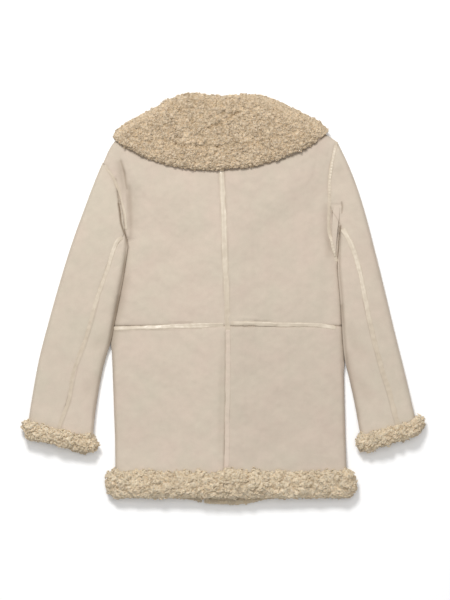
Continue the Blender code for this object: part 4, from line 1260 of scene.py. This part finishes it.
class JACKET_OT_collar(bpy.types.Operator):
    """Makes the collar: its fall with tight curls, and the stand and ends under it"""

    bl_idname = "jacket.collar"
    bl_label = "Collar"
    bl_options = {"REGISTER", "UNDO"}

    def execute(self, context):
        settings = context.scene.jacket_wool
        sizes = (settings.collar_lock, settings.collar_spacing)
        tight = Growth(wool_sizes(*sizes, COLLAR_PILE), wool_of("collar"), 31, collar_calm, collar_painted_light)
        grow_wool("collar_fall", COLLAR_SKIN, tight, COLLAR_FOLDS)
        plain = Growth(wool_sizes(*sizes, HIDDEN_COLLAR_PILE), wool_of("collar"), 35)
        for node in ("collar_stand", "collar_end_left", "collar_end_right"):
            make_skin(node, HIDDEN_COLLAR_SKIN, plain)
        return {"FINISHED"}


def squeezed(points, squeeze):
    """Points of a cuff band, drawn together across the band, less so at its two ends."""
    turn = math.radians(squeeze.turn)
    across = np.array((math.sin(turn), -math.cos(turn)))
    along = np.array((math.cos(turn), math.sin(turn)))
    place = points[:, :2] - plan(squeeze.middle)
    end = np.clip(np.abs(place @ along) / (squeeze.half_length * MM), 0.0, 1.0) ** 4
    share = squeeze.share + (squeeze.end_share - squeeze.share) * end
    out = place @ across
    shift = (share - 1.0) * out + squeeze.shift * MM * (1.0 - 0.5 * end)
    corner = np.clip(np.abs(out) / (squeeze.half_width * MM), 0.0, 1.2) ** 2
    inwards = -np.sign(place @ along) * end * corner * squeeze.rounding * MM
    moved = points.copy()
    moved[:, :2] += shift[:, None] * across + inwards[:, None] * along
    return moved


class JACKET_OT_cuffs(bpy.types.Operator):
    """Makes the turned-back wool bands at the wrists"""

    bl_idname = "jacket.cuffs"
    bl_label = "Cuff bands"
    bl_options = {"REGISTER", "UNDO"}

    def execute(self, context):
        settings = context.scene.jacket_wool
        wool = wool_sizes(settings.band_lock, settings.band_spacing, BAND_PILE)
        for seed, side in ((41, "left"), (43, "right")):
            growth = Growth(wool, wool_of("band"), seed)
            drawn = partial(squeezed, squeeze=SQUEEZES[side])
            grow_wool(f"cuff_band_{side}", BAND_SKIN, growth, reshape=drawn)
        return {"FINISHED"}


def hem_calm(points):
    """From 0 to 1, near the lower edge of the hem, where its wool is combed smooth."""
    return HEM_CALM * fading(points[:, 1] - plan((0.0, HEM_LOWEST))[1], HEM_COMBED)


# Painted light along the lower edge of the hem, where it is combed smooth.
def hem_painted_light(points):
    return HEM_PAINTED_LIGHT * hem_calm(points)


def hidden_calm(points):
    return np.full(len(points), HIDDEN_CALM)


# Painted light on the pressed wool that lies in the back band's shadow.
def hidden_painted_light(points):
    return np.full(len(points), HIDDEN_PAINTED_LIGHT)


def ragged(points):
    """Points of a hem band, with its upper edge pushed up and down by loose tufts."""
    low, high = points[:, 1].min(), points[:, 1].max()
    upper = np.clip((points[:, 1] - low) / (high - low) * 2.0 - 1.0, 0.0, 1.0)
    moved = points.copy()
    moved[:, 1] += HEM_TUFT * MM * upper * swelling(points * (1.0, 0.4, 0.0), HEM_TUFTS)
    return moved


class JACKET_OT_hem(bpy.types.Operator):
    """Makes the wool bands round the hem: loose wool at the back, pressed flat in front"""

    bl_idname = "jacket.hem"
    bl_label = "Hem bands"
    bl_options = {"REGISTER", "UNDO"}

    def execute(self, context):
        settings = context.scene.jacket_wool
        lock, spacing = settings.band_lock, settings.band_spacing
        wool = wool_sizes(lock, spacing, BAND_PILE)
        for seed, side in ((51, "left"), (53, "right")):
            growth = Growth(wool, wool_of("band"), seed, hem_calm, hem_painted_light)
            grow_wool(f"hem_band_back_{side}", BAND_SKIN, growth, reshape=ragged)
        wool = wool_sizes(HIDDEN_LOCK * lock, HIDDEN_SPACING * spacing, HIDDEN_BAND_PILE)
        for seed, side in ((55, "left"), (57, "right")):
            growth = Growth(wool, wool_of("band"), seed, hidden_calm, hidden_painted_light)
            grow_wool(f"hem_band_front_{side}", HIDDEN_BAND_SKIN, growth)
        return {"FINISHED"}


# ---------------------------------------------------------------------------------------
# The stage.


class JACKET_OT_stage(bpy.types.Operator):
    """Lays a white floor, hangs soft studio lights and sets the camera overhead"""

    bl_idname = "jacket.stage"
    bl_label = "Stage"
    bl_options = {"REGISTER", "UNDO"}

    def execute(self, context):
        stage = context.scene.jacket_stage
        bpy.ops.object.select_all(action="DESELECT")
        bpy.ops.mesh.primitive_plane_add(size=FLOOR_SIZE, location=(0.0, 0.0, -FLOOR_DROP * MM))
        floor = context.active_object
        floor.name = "floor"
        bpy.ops.object.transform_apply(location=True, rotation=True, scale=True)
        paper = {"Base Color": opaque(stage.floor), "Roughness": 0.9, "Specular IOR Level": 0.1}
        material, _, _ = new_material("white_paper")
        floor.data.materials.append(finish_material(material, paper, {}))
        world = bpy.data.worlds.new("studio")
        world.use_nodes = True
        sky = world.node_tree.nodes["Background"].inputs
        sky["Color"].default_value = (1.0, 1.0, 1.0, 1.0)
        sky["Strength"].default_value = stage.fill
        context.scene.world = world
        for name, spot, size, power in (
            ("key", (-0.58, 2.03, 3.0), 0.9, stage.key),
            ("top", (0.2, 0.5, 4.2), 2.6, stage.top),
        ):
            bpy.ops.object.light_add(type="AREA", location=spot)
            light = context.active_object
            light.name = name
            light.data.shape = "DISK"
            light.data.size = size
            light.data.energy = power
            light.rotation_euler = (-light.location).to_track_quat("-Z", "Y").to_euler()
        centre = plan((stage.middle_x / MM, stage.middle_y / MM))
        camera = bpy.data.objects.new("camera", bpy.data.cameras.new("camera"))
        context.scene.collection.objects.link(camera)
        camera.location = (centre[0], centre[1], stage.distance + stage.focus_height)
        camera.data.lens = camera.data.sensor_width * stage.distance / stage.view_height
        camera.data.clip_end = 50.0
        context.scene.camera = camera
        context.scene.view_settings.view_transform = "Standard"
        return {"FINISHED"}


# ---------------------------------------------------------------------------------------
# Settings, panel and registration.


def colour_property(name, description, code):
    return FloatVectorProperty(
        name=name, description=description, default=linear(code), subtype="COLOR", min=0.0, max=1.0
    )


def length_property(name, description, default):
    return FloatProperty(name=name, description=description, default=default, unit="LENGTH")


def share_property(name, description, default):
    return FloatProperty(name=name, description=description, default=default, min=0.0, max=1.0)


def power_property(name, description, default):
    return FloatProperty(name=name, description=description, default=default, min=0.0)


class SuedeSettings(bpy.types.PropertyGroup):
    warm: colour_property("Warm patches", "Suede where the dye is warmer", "#CBBAAB")
    cool: colour_property("Cool patches", "Suede where the dye is greener", "#C6BBAA")
    # Creases: the colour of the painted shade in creases, grooves and seams.
    crease: colour_property("Creases", "Suede worn in its creases", "#6E5A44")
    nap_height: length_property("Nap height", "Height of the nap", 0.25 * MM)
    slack: length_property("Slack", "Height of the soft waves in a panel", 0.9 * MM)
    sheen: share_property("Sheen", "Light caught by the nap", 0.12)
    cell: length_property("Cell", "Size of a panel's faces", 3.1 * MM)


class WoolSettings(bpy.types.PropertyGroup):
    # Roots: the colour of painted shade deep in the pile and in the crevices between curls.
    root: colour_property("Roots", "Wool deep between the locks", "#6C5539")
    collar: colour_property("Collar", "Collar wool", "#C7B193")
    # Collar tips: painted light where the wool is most open to the light.
    collar_tip: colour_property("Collar tips", "Tips of the collar's wool", "#CDBAA0")
    band: colour_property("Bands", "Wool of the cuffs and the hem", "#D5C1A4")
    # Band tips: painted light where the wool is most open to the light.
    band_tip: colour_property("Band tips", "Tips of the bands' wool", "#E0D0B6")
    collar_lock: length_property("Collar lock", "Radius of a lock on the collar", 1.9 * MM)
    collar_spacing: length_property("Collar spacing", "Distance between the collar's locks", 4.1 * MM)
    band_lock: length_property("Band lock", "Radius of a lock on a band", 2.5 * MM)
    band_spacing: length_property("Band spacing", "Distance between a band's locks", 5.2 * MM)
    collar_curl: length_property("Collar curl", "Width of the collar's finest curls", 8.0 * MM)
    band_curl: length_property("Band curl", "Width of a band's finest curls", 6.5 * MM)
    curl_height: length_property("Curl height", "Relief of the finest curls", 1.0 * MM)
    # Crevices: how dark the painted shade between the curls is.
    collar_crevice: share_property("Collar crevices", "How dark it is between the collar's curls", 0.52)
    band_crevice: share_property("Band crevices", "How dark it is between a band's curls", 0.2)
    fibre_height: length_property("Fibre height", "Relief of the fibre on a lock", 0.35 * MM)
    sheen: share_property("Sheen", "Light caught by loose fibre", 0.15)
    glow: share_property("Glow", "Share of light that passes between the fibres", 0.3)
    glow_reach: length_property("Glow reach", "How far light passes into the wool", 1.6 * MM)


class StripSettings(bpy.types.PropertyGroup):
    colour: colour_property("Colour", "Smooth leather", "#D0C3B0")
    rubbed: colour_property("Rubbed", "Leather rubbed back to the colour of the suede", "#C0B29F")
    roughness: share_property("Roughness", "How matt the strips are where they aren't rubbed", 0.34)


class StageSettings(bpy.types.PropertyGroup):
    floor: colour_property("Floor", "White studio floor", "#FFFFFF")
    fill: power_property("Fill", "Strength of the light from all round", 0.4)
    key: power_property("Key", "Power of the light above the collar, in watts", 88.0)
    top: power_property("Top", "Power of the light overhead, in watts", 48.0)
    distance: length_property("Camera distance", "Height of the camera over the jacket", 5.0)
    view_height: length_property("View height", "Length of floor that the picture shows", 1.2)
    focus_height: length_property("Focus height", "Height of the plane that is true to size", 0.02)
    middle_x: length_property("Middle X", "Middle of the picture, across, in the tables' plan", 0.007)
    middle_y: length_property("Middle Y", "Middle of the picture, up, in the tables' plan", 0.0)


OPERATORS = (
    JACKET_OT_fronts,
    JACKET_OT_back,
    JACKET_OT_sleeves,
    JACKET_OT_gusset,
    JACKET_OT_strips,
    JACKET_OT_collar,
    JACKET_OT_cuffs,
    JACKET_OT_hem,
    JACKET_OT_stage,
)
SETTINGS = (
    ("jacket_suede", SuedeSettings),
    ("jacket_wool", WoolSettings),
    ("jacket_strips", StripSettings),
    ("jacket_stage", StageSettings),
)


class JACKET_PT_panel(bpy.types.Panel):
    """Lists the steps that dress the jacket"""

    bl_label = "Shearling jacket"
    bl_idname = "JACKET_PT_panel"
    bl_space_type = "VIEW_3D"
    bl_region_type = "UI"
    bl_category = "Jacket"

    def draw(self, context):
        for name, group in SETTINGS:
            box = self.layout.box()
            for key in group.__annotations__:
                box.prop(getattr(context.scene, name), key)
        for operator in OPERATORS:
            self.layout.operator(operator.bl_idname)


def register():
    for name, group in SETTINGS:
        bpy.utils.register_class(group)
        setattr(bpy.types.Scene, name, PointerProperty(type=group))
    for operator in OPERATORS:
        bpy.utils.register_class(operator)
    bpy.utils.register_class(JACKET_PT_panel)


def unregister():
    bpy.utils.unregister_class(JACKET_PT_panel)
    for operator in reversed(OPERATORS):
        bpy.utils.unregister_class(operator)
    for name, group in reversed(SETTINGS):
        delattr(bpy.types.Scene, name)
        bpy.utils.unregister_class(group)


def main():
    register()
    for operator in OPERATORS:
        group, name = operator.bl_idname.split(".")
        getattr(getattr(bpy.ops, group), name)()


if __name__ == "__main__":
    main()
